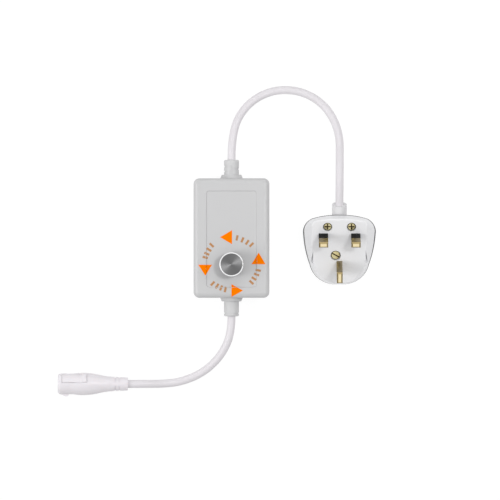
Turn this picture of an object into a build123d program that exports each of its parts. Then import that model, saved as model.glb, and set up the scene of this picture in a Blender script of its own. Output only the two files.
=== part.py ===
from build123d import *

import os
from math import cos, pi, radians, sin, tan

# LED strip power cord with a dimmer. Millimetres, +Z up, +Y towards the mains cord.
# The origin is the centre of the dimmer case's underside.

# Dimmer case
CASE_WIDTH = 52.0
CASE_LENGTH = 82.0
CASE_HEIGHT = 25.0
PARTING_HEIGHT = 12.5
CASE_WALL = 2.2
CASE_FLOOR = 2.0
CASE_CORNER = 4.0
CASE_TOP_ROUND = 3.5
CASE_FOOT_ROUND = 1.2
LIP_HEIGHT = 1.2
LIP_THICKNESS = 0.9
LIP_CLEARANCE = 0.1

# Sunk front panel
PANEL_WIDTH = 33.8
PANEL_LENGTH = 65.4
PANEL_DEPTH = 0.5
PANEL_CORNER = 1.8
PANEL_SLOPE = 45.0
PANEL_SHIFT = -0.7
PANEL_THICKNESS = 2.0

# Case screws and their bosses
BOSS_RADIUS = 4.0
BOSS_TO_WALL = 0.6
SCREW_RADIUS = 1.25
SCREW_HEAD_RADIUS = 2.6
SCREW_HEAD_HEIGHT = 2.0
SCREW_HEAD_SINK = 1.0
SCREW_GRIP = 7.0
SCREW_CLEARANCE = 0.35
HEAD_CLEARANCE = 0.2
THREAD_CLEARANCE = 0.02
CROSS_WIDTH = 0.7
CROSS_DEPTH = 0.8

# Glands and the collars that hold them
COLLAR_LENGTH = 2.5
COLLAR_BASE_RADIUS = 7.8
COLLAR_TIP_RADIUS = 6.7
GLAND_RADIUS = 5.15
GLAND_LENGTH = 10.2
GLAND_NECK_RADIUS = 4.2
GLAND_FLANGE_RADIUS = 6.2
GLAND_FLANGE_THICKNESS = 1.6
GLAND_GROOVE_WIDTH = 0.9
GLAND_GROOVE_DEPTH = 0.4
INPUT_GROOVES = ((1.8, -1), (3.4, 1), (5.1, -1))
OUTPUT_GROOVES = ((7.7, -1), (7.7, 1))
GLAND_TIP_ROUND = 0.9
SLOT_WEB = 1.3
NECK_CLEARANCE = 0.05

# Cords
CORD_DIAMETER = 5.5
BEND_SHARE = 0.45
CORE_RADIUS = 0.9
CORE_OFFSET = 1.5

# Knob
KNOB_CENTRE = -18.0
KNOB_RADIUS = 8.2
KNOB_HEIGHT = 12.1
KNOB_CHAMFER = 0.7
KNOB_WALL = 1.8
KNOB_TOP = 2.2
KNOB_GAP = 0.6
KNURL_COUNT = 48
KNURL_RADIUS = 0.3
KNURL_MARGIN = 1.6
CORE_CLEARANCE = 0.02
CORE_GAP = 0.3

# Potentiometer
POT_RADIUS = 8.0
POT_HEIGHT = 8.0
POT_WALL = 1.0
SHAFT_RADIUS = 3.0
SHAFT_FLAT = 1.5
SHAFT_END_GAP = 0.3
SHAFT_CLEARANCE = 0.05
BUSH_RADIUS = 3.5
BUSH_LENGTH = 6.5
BUSH_CLEARANCE = 0.15
WASHER_RADIUS = 5.6
WASHER_THICKNESS = 0.5
NUT_ACROSS_FLATS = 10.0
NUT_THICKNESS = 2.0
WIPER_RADIUS = 6.0
WIPER_THICKNESS = 1.2
WIPER_GAP = 0.5
WAFER_WIDTH = 13.0
WAFER_REACH = 2.5
WAFER_THICKNESS = 2.5
LEG_COUNT = 3
LEG_PITCH = 5.0
LEG_WIDTH = 1.2
LEG_THICKNESS = 0.4

# Circuit board
BOARD_WIDTH = 43.0
BOARD_LENGTH = 58.0
BOARD_THICKNESS = 1.6
BOARD_UNDERSIDE = 6.0
BOARD_CORNER = 1.0
POST_RADIUS = 2.4
POST_INSET = 4.0
PEG_RADIUS = 1.0
PEG_HEIGHT = 0.8
PEG_CLEARANCE = 0.1

# Sizes that follow from the case
INNER_WIDTH = CASE_WIDTH - 2 * CASE_WALL
INNER_LENGTH = CASE_LENGTH - 2 * CASE_WALL
INNER_CORNER = CASE_CORNER - CASE_WALL
PANEL_HEIGHT = CASE_HEIGHT - PANEL_DEPTH
INNER_TOP = PANEL_HEIGHT - PANEL_THICKNESS
BOSS_SPAN_X = INNER_WIDTH - 2 * (BOSS_RADIUS + BOSS_TO_WALL)
BOSS_SPAN_Y = INNER_LENGTH - 2 * (BOSS_RADIUS + BOSS_TO_WALL)
HEAD_SEAT = SCREW_HEAD_SINK + SCREW_HEAD_HEIGHT
COLLAR_END = CASE_LENGTH / 2 + COLLAR_LENGTH
GLAND_END = COLLAR_END + GLAND_LENGTH
BOARD_TOP = BOARD_UNDERSIDE + BOARD_THICKNESS
POST_SPAN_X = BOARD_WIDTH - 2 * POST_INSET
POST_SPAN_Y = BOARD_LENGTH - 2 * POST_INSET
NECK_HOLE_RADIUS = GLAND_NECK_RADIUS + NECK_CLEARANCE

RISING = (Align.CENTER, Align.CENTER, Align.MIN)
SINKING = (Align.CENTER, Align.CENTER, Align.MAX)

os.makedirs("parts", exist_ok=True)


def level(height):
    """Give the plane parallel to the underside at a height."""
    return Plane.XY.offset(height)


def end_plane(side, distance, height=PARTING_HEIGHT):
    """Give a plane across the case's axis that faces outwards at one end, +1 or -1."""
    return Plane(origin=(0, side * distance, height), x_dir=(1, 0, 0), z_dir=(0, side, 0))


def half_ring(radius, depth, hand, web=0.0):
    """Draw the section of a slot round one side of a rod in the open sketch.

    hand is +1 or -1, and web is what stays between the slot and the rod's middle plane.
    """
    Circle(radius)
    Circle(radius - depth, mode=Mode.SUBTRACT)
    with Locations((-hand * (radius - web) / 2, 0)):
        Rectangle(radius + web, 2 * radius, mode=Mode.SUBTRACT)


def bend_radii(points):
    """Give each inner corner of a route the largest arc that its two runs allow."""
    radii = []
    for before, corner, after in zip(points, points[1:], points[2:]):
        run_in = Vector(*corner) - Vector(*before)
        run_out = Vector(*after) - Vector(*corner)
        turn = radians(run_in.get_angle(run_out))
        radii.append(BEND_SHARE * min(run_in.length, run_out.length) / tan(turn / 2))
    return radii


# Case base: floor, walls, lip, screw bosses and board posts
with BuildPart() as case_base:
    with BuildSketch():
        RectangleRounded(CASE_WIDTH, CASE_LENGTH, CASE_CORNER)
    extrude(amount=PARTING_HEIGHT)
    fillet(case_base.faces().sort_by(Axis.Z)[0].edges(), CASE_FOOT_ROUND)
    for side in (1, -1):
        with Locations(end_plane(side, CASE_LENGTH / 2)):
            Cone(COLLAR_BASE_RADIUS, COLLAR_TIP_RADIUS, COLLAR_LENGTH, align=RISING)
    split(bisect_by=level(PARTING_HEIGHT), keep=Keep.BOTTOM)
    with BuildSketch(level(CASE_FLOOR)):
        RectangleRounded(INNER_WIDTH, INNER_LENGTH, INNER_CORNER)
    extrude(amount=PARTING_HEIGHT, mode=Mode.SUBTRACT)
    with BuildSketch(level(PARTING_HEIGHT)):
        RectangleRounded(
            INNER_WIDTH + 2 * LIP_THICKNESS, INNER_LENGTH + 2 * LIP_THICKNESS, INNER_CORNER + LIP_THICKNESS
        )
        RectangleRounded(INNER_WIDTH, INNER_LENGTH, INNER_CORNER, mode=Mode.SUBTRACT)
    extrude(amount=LIP_HEIGHT)
    with Locations(level(CASE_FLOOR)):
        with GridLocations(BOSS_SPAN_X, BOSS_SPAN_Y, 2, 2):
            Cylinder(BOSS_RADIUS, PARTING_HEIGHT - CASE_FLOOR, align=RISING)
        with GridLocations(POST_SPAN_X, POST_SPAN_Y, 2, 2):
            Cylinder(POST_RADIUS, BOARD_UNDERSIDE - CASE_FLOOR, align=RISING)
            Cylinder(PEG_RADIUS, BOARD_TOP + PEG_HEIGHT - CASE_FLOOR, align=RISING)
    with GridLocations(BOSS_SPAN_X, BOSS_SPAN_Y, 2, 2):
        Cylinder(SCREW_HEAD_RADIUS + HEAD_CLEARANCE, HEAD_SEAT, align=RISING, mode=Mode.SUBTRACT)
        Cylinder(SCREW_RADIUS + SCREW_CLEARANCE, PARTING_HEIGHT, align=RISING, mode=Mode.SUBTRACT)
    for side in (1, -1):
        with Locations(end_plane(side, COLLAR_END)):
            Cylinder(NECK_HOLE_RADIUS, COLLAR_LENGTH + CASE_WALL, align=SINKING, mode=Mode.SUBTRACT)
case_base.part.label = "case_base"
export_step(case_base.part, "parts/case_base.step")

# Case cover: walls, sunk panel, screw bosses and the hole for the bush
with BuildPart() as case_cover:
    with BuildSketch(level(PARTING_HEIGHT)):
        RectangleRounded(CASE_WIDTH, CASE_LENGTH, CASE_CORNER)
    extrude(amount=CASE_HEIGHT - PARTING_HEIGHT)
    fillet(case_cover.faces().sort_by(Axis.Z)[-1].edges(), CASE_TOP_ROUND)
    for side in (1, -1):
        with Locations(end_plane(side, CASE_LENGTH / 2)):
            Cone(COLLAR_BASE_RADIUS, COLLAR_TIP_RADIUS, COLLAR_LENGTH, align=RISING)
    split(bisect_by=level(PARTING_HEIGHT), keep=Keep.TOP)
    with BuildSketch(level(PARTING_HEIGHT)):
        RectangleRounded(INNER_WIDTH, INNER_LENGTH, INNER_CORNER)
    extrude(amount=INNER_TOP - PARTING_HEIGHT, mode=Mode.SUBTRACT)
    with BuildSketch(level(PARTING_HEIGHT)):
        RectangleRounded(
            INNER_WIDTH + 2 * (LIP_THICKNESS + LIP_CLEARANCE),
            INNER_LENGTH + 2 * (LIP_THICKNESS + LIP_CLEARANCE),
            INNER_CORNER + LIP_THICKNESS + LIP_CLEARANCE,
        )
    extrude(amount=LIP_HEIGHT + LIP_CLEARANCE, mode=Mode.SUBTRACT)
    with BuildSketch(level(PANEL_HEIGHT)):
        with Locations((0, PANEL_SHIFT)):
            RectangleRounded(PANEL_WIDTH, PANEL_LENGTH, PANEL_CORNER)
    extrude(amount=PANEL_DEPTH, taper=-PANEL_SLOPE, mode=Mode.SUBTRACT)
    with Locations(level(PARTING_HEIGHT)):
        with GridLocations(BOSS_SPAN_X, BOSS_SPAN_Y, 2, 2):
            Cylinder(BOSS_RADIUS, INNER_TOP - PARTING_HEIGHT, align=RISING)
            Cylinder(SCREW_RADIUS + THREAD_CLEARANCE, SCREW_GRIP, align=RISING, mode=Mode.SUBTRACT)
    with Locations((0, KNOB_CENTRE, INNER_TOP)):
        Cylinder(BUSH_RADIUS + BUSH_CLEARANCE, PANEL_THICKNESS, align=RISING, mode=Mode.SUBTRACT)
    for side in (1, -1):
        with Locations(end_plane(side, COLLAR_END)):
            Cylinder(NECK_HOLE_RADIUS, COLLAR_LENGTH + CASE_WALL, align=SINKING, mode=Mode.SUBTRACT)
case_cover.part.label = "case_cover"
export_step(case_cover.part, "parts/case_cover.step")

# Case screws, driven from below
with BuildPart() as case_screws:
    with GridLocations(BOSS_SPAN_X, BOSS_SPAN_Y, 2, 2):
        with Locations((0, 0, SCREW_HEAD_SINK)):
            Cylinder(SCREW_HEAD_RADIUS, SCREW_HEAD_HEIGHT, align=RISING)
            Cylinder(SCREW_RADIUS, PARTING_HEIGHT + SCREW_GRIP - SCREW_HEAD_SINK, align=RISING)
            Box(CROSS_WIDTH, SCREW_HEAD_RADIUS, CROSS_DEPTH, align=RISING, mode=Mode.SUBTRACT)
            Box(SCREW_HEAD_RADIUS, CROSS_WIDTH, CROSS_DEPTH, align=RISING, mode=Mode.SUBTRACT)
case_screws.part.label = "case_screws"
export_step(case_screws.part, "parts/case_screws.step")


def make_gland(side, grooves):
    """Make one strain relief, with shallow grooves round its left or right half.

    side is +1 for the mains end and -1 for the strip end, and grooves are pairs of a
    distance from the collar and a hand, +1 for the +X half and -1 for the other.
    """
    neck_length = COLLAR_LENGTH + CASE_WALL
    inner_face = CASE_LENGTH / 2 - CASE_WALL
    with BuildPart() as gland:
        with Locations(end_plane(side, COLLAR_END)):
            Cylinder(GLAND_RADIUS, GLAND_LENGTH, align=RISING)
        fillet(gland.faces().sort_by(Axis.Y)[-1 if side > 0 else 0].edges(), GLAND_TIP_ROUND)
        with Locations(end_plane(side, inner_face)):
            Cylinder(GLAND_NECK_RADIUS, neck_length, align=RISING)
            Cylinder(GLAND_FLANGE_RADIUS, GLAND_FLANGE_THICKNESS, align=SINKING)
        for distance, hand in grooves:
            with BuildSketch(end_plane(side, COLLAR_END + distance)):
                half_ring(GLAND_RADIUS, GLAND_GROOVE_DEPTH, hand)
            extrude(amount=GLAND_GROOVE_WIDTH, mode=Mode.SUBTRACT)
    return gland.part


input_gland = make_gland(1, INPUT_GROOVES)
input_gland.label = "input_gland"
export_step(input_gland, "parts/input_gland.step")

output_gland = make_gland(-1, OUTPUT_GROOVES)
output_gland.label = "output_gland"
export_step(output_gland, "parts/output_gland.step")

# Potentiometer: can, bush, nut, washer, shaft, wiper and legs
POT_FLOOR = INNER_TOP - POT_HEIGHT
CAVITY_FLOOR = POT_FLOOR + POT_WALL
SHAFT_BORE = SHAFT_RADIUS + SHAFT_CLEARANCE
WASHER_TOP = PANEL_HEIGHT + WASHER_THICKNESS
BUSH_TOP = INNER_TOP + BUSH_LENGTH
KNOB_FOOT = PANEL_HEIGHT + KNOB_GAP
KNOB_BORE_TOP = KNOB_FOOT + KNOB_HEIGHT - KNOB_TOP
KNOB_BORE = KNOB_RADIUS - KNOB_WALL
CORE_FOOT = BUSH_TOP + CORE_GAP
SHAFT_FOOT = CAVITY_FLOOR + SHAFT_END_GAP
SHAFT_TOP = KNOB_BORE_TOP - SHAFT_END_GAP
WAFER_FACE = KNOB_CENTRE + POT_RADIUS + WAFER_REACH
WAFER_DEPTH = 2 * WAFER_REACH

with BuildPart() as pot_body:
    with Locations((0, KNOB_CENTRE, POT_FLOOR)):
        Cylinder(POT_RADIUS, POT_HEIGHT, align=RISING)
    with Locations((0, WAFER_FACE, CAVITY_FLOOR)):
        Box(WAFER_WIDTH, WAFER_DEPTH, WAFER_THICKNESS, align=(Align.CENTER, Align.MAX, Align.MIN))
    with Locations((0, KNOB_CENTRE, CAVITY_FLOOR)):
        Cylinder(POT_RADIUS - POT_WALL, POT_HEIGHT - 2 * POT_WALL, align=RISING, mode=Mode.SUBTRACT)
        Cylinder(SHAFT_BORE, POT_HEIGHT, align=RISING, mode=Mode.SUBTRACT)
pot_body.part.label = "pot_body"
export_step(pot_body.part, "parts/pot_body.step")

with BuildPart() as pot_bush:
    with Locations((0, KNOB_CENTRE, INNER_TOP)):
        Cylinder(BUSH_RADIUS, BUSH_LENGTH, align=RISING)
        Cylinder(SHAFT_BORE, BUSH_LENGTH, align=RISING, mode=Mode.SUBTRACT)
pot_bush.part.label = "pot_bush"
export_step(pot_bush.part, "parts/pot_bush.step")

with BuildPart() as pot_washer:
    with Locations((0, KNOB_CENTRE, PANEL_HEIGHT)):
        Cylinder(WASHER_RADIUS, WASHER_THICKNESS, align=RISING)
        Cylinder(BUSH_RADIUS + THREAD_CLEARANCE, WASHER_THICKNESS, align=RISING, mode=Mode.SUBTRACT)
pot_washer.part.label = "pot_washer"
export_step(pot_washer.part, "parts/pot_washer.step")

with BuildPart() as pot_nut:
    with BuildSketch(level(WASHER_TOP)):
        with Locations((0, KNOB_CENTRE)):
            RegularPolygon(NUT_ACROSS_FLATS / 2, 6, major_radius=False)
            Circle(BUSH_RADIUS + THREAD_CLEARANCE, mode=Mode.SUBTRACT)
    extrude(amount=NUT_THICKNESS)
pot_nut.part.label = "pot_nut"
export_step(pot_nut.part, "parts/pot_nut.step")

with BuildPart() as pot_shaft:
    with Locations((0, KNOB_CENTRE, SHAFT_FOOT)):
        Cylinder(SHAFT_RADIUS, SHAFT_TOP - SHAFT_FOOT, align=RISING)
    with Locations((0, KNOB_CENTRE + SHAFT_FLAT, CORE_FOOT)):
        Box(
            2 * SHAFT_RADIUS, SHAFT_RADIUS, SHAFT_TOP - CORE_FOOT,
            align=(Align.CENTER, Align.MIN, Align.MIN), mode=Mode.SUBTRACT,
        )
pot_shaft.part.label = "pot_shaft"
export_step(pot_shaft.part, "parts/pot_shaft.step")

with BuildPart() as pot_wiper:
    with Locations((0, KNOB_CENTRE, CAVITY_FLOOR + WIPER_GAP)):
        Cylinder(WIPER_RADIUS, WIPER_THICKNESS, align=RISING)
        Cylinder(SHAFT_RADIUS + CORE_CLEARANCE, WIPER_THICKNESS, align=RISING, mode=Mode.SUBTRACT)
pot_wiper.part.label = "pot_wiper"
export_step(pot_wiper.part, "parts/pot_wiper.step")

with BuildPart() as pot_terminals:
    with Locations((0, WAFER_FACE - WAFER_REACH / 2, BOARD_TOP)):
        with GridLocations(LEG_PITCH, 1, LEG_COUNT, 1):
            Box(LEG_WIDTH, LEG_THICKNESS, CAVITY_FLOOR - BOARD_TOP, align=RISING)
pot_terminals.part.label = "pot_terminals"
export_step(pot_terminals.part, "parts/pot_terminals.step")

# Knob: turned cap with a knurled side, and the core that grips the shaft
with BuildPart() as knob_cap:
    with Locations((0, KNOB_CENTRE, KNOB_FOOT)):
        Cylinder(KNOB_RADIUS, KNOB_HEIGHT, align=RISING)
    chamfer(knob_cap.faces().sort_by(Axis.Z)[-1].edges(), KNOB_CHAMFER)
    with Locations((0, KNOB_CENTRE, KNOB_FOOT)):
        Cylinder(KNOB_BORE, KNOB_BORE_TOP - KNOB_FOOT, align=RISING, mode=Mode.SUBTRACT)
    with Locations((0, KNOB_CENTRE, KNOB_FOOT + KNURL_MARGIN)):
        with PolarLocations(KNOB_RADIUS, KNURL_COUNT):
            Cylinder(KNURL_RADIUS, KNOB_HEIGHT - 2 * KNURL_MARGIN, align=RISING, mode=Mode.SUBTRACT)
knob_cap.part.label = "knob_cap"
export_step(knob_cap.part, "parts/knob_cap.step")

with BuildPart() as knob_core:
    with BuildSketch(level(CORE_FOOT)):
        with Locations((0, KNOB_CENTRE)):
            Circle(KNOB_BORE - CORE_CLEARANCE)
    extrude(amount=KNOB_BORE_TOP - CORE_FOOT)
    with BuildSketch(level(CORE_FOOT)):
        with Locations((0, KNOB_CENTRE)):
            Circle(SHAFT_RADIUS + CORE_CLEARANCE)
        with Locations((0, KNOB_CENTRE + SHAFT_FLAT + CORE_CLEARANCE)):
            Rectangle(2 * KNOB_BORE, KNOB_BORE, align=(Align.CENTER, Align.MIN), mode=Mode.SUBTRACT)
    extrude(amount=KNOB_BORE_TOP - CORE_FOOT, mode=Mode.SUBTRACT)
knob_core.part.label = "knob_core"
export_step(knob_core.part, "parts/knob_core.step")

# Circuit board and what stands on it
FUSE_INSET = (12.0, 9.5)
FUSE_PLACE = (FUSE_INSET[0] - BOARD_WIDTH / 2, BOARD_LENGTH / 2 - FUSE_INSET[1])
FUSE_RADIUS = 2.6
FUSE_LENGTH = 13.0
FILM_INSET = (12.0, 8.5)
FILM_PLACE = (BOARD_WIDTH / 2 - FILM_INSET[0], BOARD_LENGTH / 2 - FILM_INSET[1])
FILM_SIZE = (13.0, 6.0, 11.0)
FILM_ROUND = 1.0
CHOKE_INSET = 7.0
CHOKE_PLACE = (CHOKE_INSET - BOARD_WIDTH / 2, 8.0)
CHOKE_RADIUS = 5.0
CHOKE_FLANGE = 0.6
CHOKE_HEIGHT = 8.0
BRIDGE_PLACE = (-3.0, 9.5)
BRIDGE_SIZE = (8.0, 6.5, 3.2)
BULK_INSET = 6.5
BULK_PLACE = (BOARD_WIDTH / 2 - BULK_INSET, 6.5)
BULK_RADIUS = 5.0
BULK_LENGTH = 18.0
BULK_ROUND = 0.6
SINK_INSET = 3.3
SINK_PLACE = (SINK_INSET - BOARD_WIDTH / 2, -9.0)
SINK_SIZE = (1.6, 20.0, 12.0)
FIN_REACH = 2.4
FIN_THICKNESS = 1.0
FIN_PITCH = 4.5
FIN_COUNT = 5
TRANSISTOR_SIZE = (4.4, 10.0, 9.0)
TRANSISTOR_LIFT = 2.0
LEAD_PITCH = 2.54
LEAD_WIDTH = 0.8
CHIP_PLACE = (0.0, 0.0)
CHIP_SIZE = (4.0, 5.0, 1.6)
CHIP_LEG_PITCH = 1.27
CHIP_LEG_LENGTH = 1.0
CHIP_LEG_SIZE = 0.4
RESISTOR_PLACE = (0.0, -18.0)
RESISTOR_SIZE = (1.6, 3.2, 0.6)
RESISTOR_PITCH = 3.0
RESISTOR_COUNT = 5
WIRE_LANDING = BOARD_LENGTH / 2 - 2.5

with BuildPart() as circuit_board:
    with BuildSketch(level(BOARD_UNDERSIDE)):
        RectangleRounded(BOARD_WIDTH, BOARD_LENGTH, BOARD_CORNER)
        with GridLocations(POST_SPAN_X, POST_SPAN_Y, 2, 2):
            Circle(PEG_RADIUS + PEG_CLEARANCE, mode=Mode.SUBTRACT)
    extrude(amount=BOARD_THICKNESS)
circuit_board.part.label = "circuit_board"
export_step(circuit_board.part, "parts/circuit_board.step")

with BuildPart() as board_fuse:
    with Locations(Plane(origin=(*FUSE_PLACE, BOARD_TOP + FUSE_RADIUS), z_dir=(1, 0, 0))):
        Cylinder(FUSE_RADIUS, FUSE_LENGTH)
board_fuse.part.label = "board_fuse"
export_step(board_fuse.part, "parts/board_fuse.step")

with BuildPart() as film_capacitor:
    with Locations((*FILM_PLACE, BOARD_TOP)):
        Box(*FILM_SIZE, align=RISING)
    fillet(film_capacitor.edges().filter_by(Axis.Z), FILM_ROUND)
film_capacitor.part.label = "film_capacitor"
export_step(film_capacitor.part, "parts/film_capacitor.step")

with BuildPart() as choke:
    with Locations((*CHOKE_PLACE, BOARD_TOP)):
        Cylinder(CHOKE_RADIUS, CHOKE_HEIGHT, align=RISING)
    for height in (0, CHOKE_HEIGHT - CHOKE_FLANGE):
        with Locations((*CHOKE_PLACE, BOARD_TOP + height)):
            Cylinder(CHOKE_RADIUS + CHOKE_FLANGE, CHOKE_FLANGE, align=RISING)
choke.part.label = "choke"
export_step(choke.part, "parts/choke.step")

with BuildPart() as bridge_rectifier:
    with Locations((*BRIDGE_PLACE, BOARD_TOP)):
        Box(*BRIDGE_SIZE, align=RISING)
bridge_rectifier.part.label = "bridge_rectifier"
export_step(bridge_rectifier.part, "parts/bridge_rectifier.step")

with BuildPart() as bulk_capacitor:
    with Locations(Plane(origin=(*BULK_PLACE, BOARD_TOP + BULK_RADIUS), z_dir=(0, 1, 0))):
        Cylinder(BULK_RADIUS, BULK_LENGTH)
    fillet(bulk_capacitor.faces().sort_by(Axis.Y)[0].edges(), BULK_ROUND)
bulk_capacitor.part.label = "bulk_capacitor"
export_step(bulk_capacitor.part, "parts/bulk_capacitor.step")

with BuildPart() as heatsink:
    with Locations((*SINK_PLACE, BOARD_TOP)):
        Box(*SINK_SIZE, align=RISING)
    with Locations((SINK_PLACE[0] - SINK_SIZE[0] / 2, SINK_PLACE[1], BOARD_TOP)):
        with GridLocations(1, FIN_PITCH, 1, FIN_COUNT):
            Box(FIN_REACH, FIN_THICKNESS, SINK_SIZE[2], align=(Align.MAX, Align.CENTER, Align.MIN))
heatsink.part.label = "heatsink"
export_step(heatsink.part, "parts/heatsink.step")

TRANSISTOR_X = SINK_PLACE[0] + (SINK_SIZE[0] + TRANSISTOR_SIZE[0]) / 2
with BuildPart() as power_transistor:
    with Locations((TRANSISTOR_X, SINK_PLACE[1], BOARD_TOP + TRANSISTOR_LIFT)):
        Box(*TRANSISTOR_SIZE, align=RISING)
    with Locations((TRANSISTOR_X, SINK_PLACE[1], BOARD_TOP)):
        with GridLocations(1, LEAD_PITCH, 1, 3):
            Box(LEAD_WIDTH, LEAD_WIDTH, TRANSISTOR_LIFT, align=RISING)
power_transistor.part.label = "power_transistor"
export_step(power_transistor.part, "parts/power_transistor.step")

with BuildPart() as control_chip:
    with Locations((*CHIP_PLACE, BOARD_TOP)):
        Box(*CHIP_SIZE, align=RISING)
        with GridLocations(CHIP_SIZE[0] + CHIP_LEG_LENGTH, CHIP_LEG_PITCH, 2, 4):
            Box(CHIP_LEG_LENGTH, CHIP_LEG_SIZE, CHIP_LEG_SIZE, align=RISING)
control_chip.part.label = "control_chip"
export_step(control_chip.part, "parts/control_chip.step")

with BuildPart() as resistors:
    with Locations((*RESISTOR_PLACE, BOARD_TOP)):
        with GridLocations(RESISTOR_PITCH, 1, RESISTOR_COUNT, 1):
            Box(*RESISTOR_SIZE, align=RISING)
resistors.part.label = "resistors"
export_step(resistors.part, "parts/resistors.step")


def make_tube(points, radius):
    """Sweep a round section along straight runs joined by arcs, and give it with its path's length."""
    with BuildPart() as tube:
        with BuildLine():
            path = FilletPolyline(*points, radius=bend_radii(points))
        with BuildSketch(Plane(origin=path @ 0, z_dir=path % 0)):
            Circle(radius)
        sweep(path=path)
    return tube.part, path.length


# Cores between each gland and the board
FLANGE_FACE = CASE_LENGTH / 2 - CASE_WALL - GLAND_FLANGE_THICKNESS


def make_board_wires(side):
    """Bend the two cores of one cord from its gland down onto the board."""
    cores = []
    for hand in (1, -1):
        route = (
            (hand * CORE_OFFSET, side * FLANGE_FACE, PARTING_HEIGHT),
            (hand * CORE_OFFSET, side * WIRE_LANDING, PARTING_HEIGHT),
            (hand * CORE_OFFSET, side * WIRE_LANDING, BOARD_TOP),
        )
        cores.append(make_tube(route, CORE_RADIUS)[0].solid())
    return Compound(children=cores)


input_wires = make_board_wires(1)
input_wires.label = "input_wires"
export_step(input_wires, "parts/input_wires.step")

output_wires = make_board_wires(-1)
output_wires.label = "output_wires"
export_step(output_wires, "parts/output_wires.step")

# Mains plug, lying on its wedge-shaped back with the pins up and leaning towards the earth end.
# Its own frame: x across, y along the pin face to the cord, z out along the pins.
PLUG_X = 74.1
PLUG_Y = 1.3
PLUG_RISE = 22.0
PLUG_TILT = 21.0
FACE_OUTLINE = (
    (0, 12.5), (8.5, 12.2), (16.2, 11.2), (18.2, 9.6), (18.7, 6.0),
    (18.9, -6.0), (17.6, -19.5), (11.8, -31.0), (0, -35.0),
)
SEAM_OUTLINE = (
    (0, 12.5), (10.0, 12.0), (19.0, 9.8), (23.4, 5.8), (24.9, -1.5),
    (23.6, -12.0), (20.3, -24.3), (13.5, -34.9), (0, -38.4),
)
SEAM_DEPTH = 8.0
SEAM_GROOVE_WIDTH = 1.0
SEAM_GROOVE_DEPTH = 0.9
BACK_SHARE = 0.9
FACE_ROUND = 1.0
PLUG_WALL = 2.6
PLUG_FLOOR = 2.2
POCKET_WIDTH = 33.0
POCKET_TOP = 9.8
POCKET_BOTTOM = -21.0
POCKET_CORNER = 7.0

# Pins to the size of the British three-pin standard
PIN_PITCH = 22.23
BLADE_WIDTH = 6.35
BLADE_THICKNESS = 3.97
BLADE_LENGTH = 17.7
EARTH_WIDTH = 3.97
EARTH_THICKNESS = 7.93
EARTH_LENGTH = 22.73
PIN_TIP_CHAMFER = 1.0
SLEEVE_LENGTH = 9.0
SLEEVE_SKIN = 0.5
PIN_FIT = 0.02
BLOCK_WIDTH = 8.0
BLOCK_LENGTH = 7.0
NEUTRAL_BLOCK_DEPTH = 9.0
EARTH_BLOCK_DEPTH = 7.5
TERMINAL_SCREW_RADIUS = 2.2
TERMINAL_SCREW_HEIGHT = 1.8

# Fuse behind the line pin
PLUG_FUSE_RADIUS = 3.15
PLUG_FUSE_LENGTH = 25.4
PLUG_FUSE_END = 4.0
PLUG_FUSE_DEPTH = 9.5
CLIP_SKIN = 0.6
CLIP_LENGTH = 4.5
CLIP_MOUTH = 1.6
NEAR_CLIP = 1.0
FAR_CLIP = -17.0

# Screws in the pin face
COVER_SCREW_PLACE = (-2.6, -14.3)
COVER_HEAD_RADIUS = 3.2
COVER_SLOT_TURN = 60.0
COVER_SHANK_RADIUS = 1.6
COVER_SHANK_DEPTH = 14.0
COVER_BOSS_DEPTH = 16.4
GRIP_SCREW_X = 8.2
GRIP_SCREW_Y = 6.6
GRIP_HEAD_RADIUS = 2.85
GRIP_CROSS_LENGTH = 4.2
GRIP_SHANK_RADIUS = 1.5
HEAD_HEIGHT = 1.4
HEAD_SINK = 0.9
HEAD_ROOM = 0.35
SHANK_ROOM = 0.15
PLUG_BOSS_RADIUS = 4.2
GRIP_BOSS_RADIUS = 3.0
HEAD_CHAMFER = 0.5
SLOT_WIDTH = 0.9
SLOT_DEPTH = 0.9

# Sleeve and the grip on it
SLEEVE_DEPTH = 13.4
SLEEVE_RADIUS = 5.1
SLEEVE_TIP = 18.2
SLEEVE_ROOT = 4.0
SLEEVE_CLEARANCE = 0.05
GRIP_BAR_LENGTH = 5.0
GRIP_BAR_WIDTH = 21.0
GRIP_BAR_DEPTH = 5.0
GRIP_BITE = 0.1
GRIP_ROOM = 0.3

# Narrow finger slots beside the face
FINGER_SLOT = ((18.0, -10.5), (19.6, -20.5), (18.3, -20.8))
FINGER_SLOT_DEPTH = 4.5

plug_frame = Plane(
    origin=(PLUG_X, PLUG_Y, PLUG_RISE),
    x_dir=(1, 0, 0),
    z_dir=(0, -sin(radians(PLUG_TILT)), cos(radians(PLUG_TILT))),
)
plug_axis = Axis(plug_frame.origin, plug_frame.z_dir)
plug_ground = Plane(origin=(PLUG_X, PLUG_Y, 0))


def plug_point(x, y, depth):
    """Give the place of a point of the plug's own frame."""
    point = plug_frame.from_local_coords((x, y, -depth))
    return (point.X, point.Y, point.Z)


def at_plug(x=0.0, y=0.0, depth=0.0):
    """Give the plane parallel to the pin face through a point, its depth counted behind the face."""
    return Plane(origin=plug_point(x, y, depth), x_dir=plug_frame.x_dir, z_dir=plug_frame.z_dir)


def draw_in(outline, inset):
    """Bring an outline's points in towards its middle by about an inset."""
    half_width = max(x for x, _ in outline)
    middle = (outline[0][1] + outline[-1][1]) / 2
    half_length = outline[0][1] - middle
    return [
        (x * (half_width - inset) / half_width, middle + (y - middle) * (half_length - inset) / half_length)
        for x, y in outline
    ]


def plug_section(plane, outline):
    """Give the face of a closed section from half an outline, drawn as arcs and mirrored."""
    with BuildSketch(plane) as section:
        with BuildLine():
            for start in range(0, len(outline) - 1, 2):
                ThreePointArc(*outline[start:start + 3])
            mirror(about=Plane.YZ)
        make_face()
    return section.sketch.face()


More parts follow.
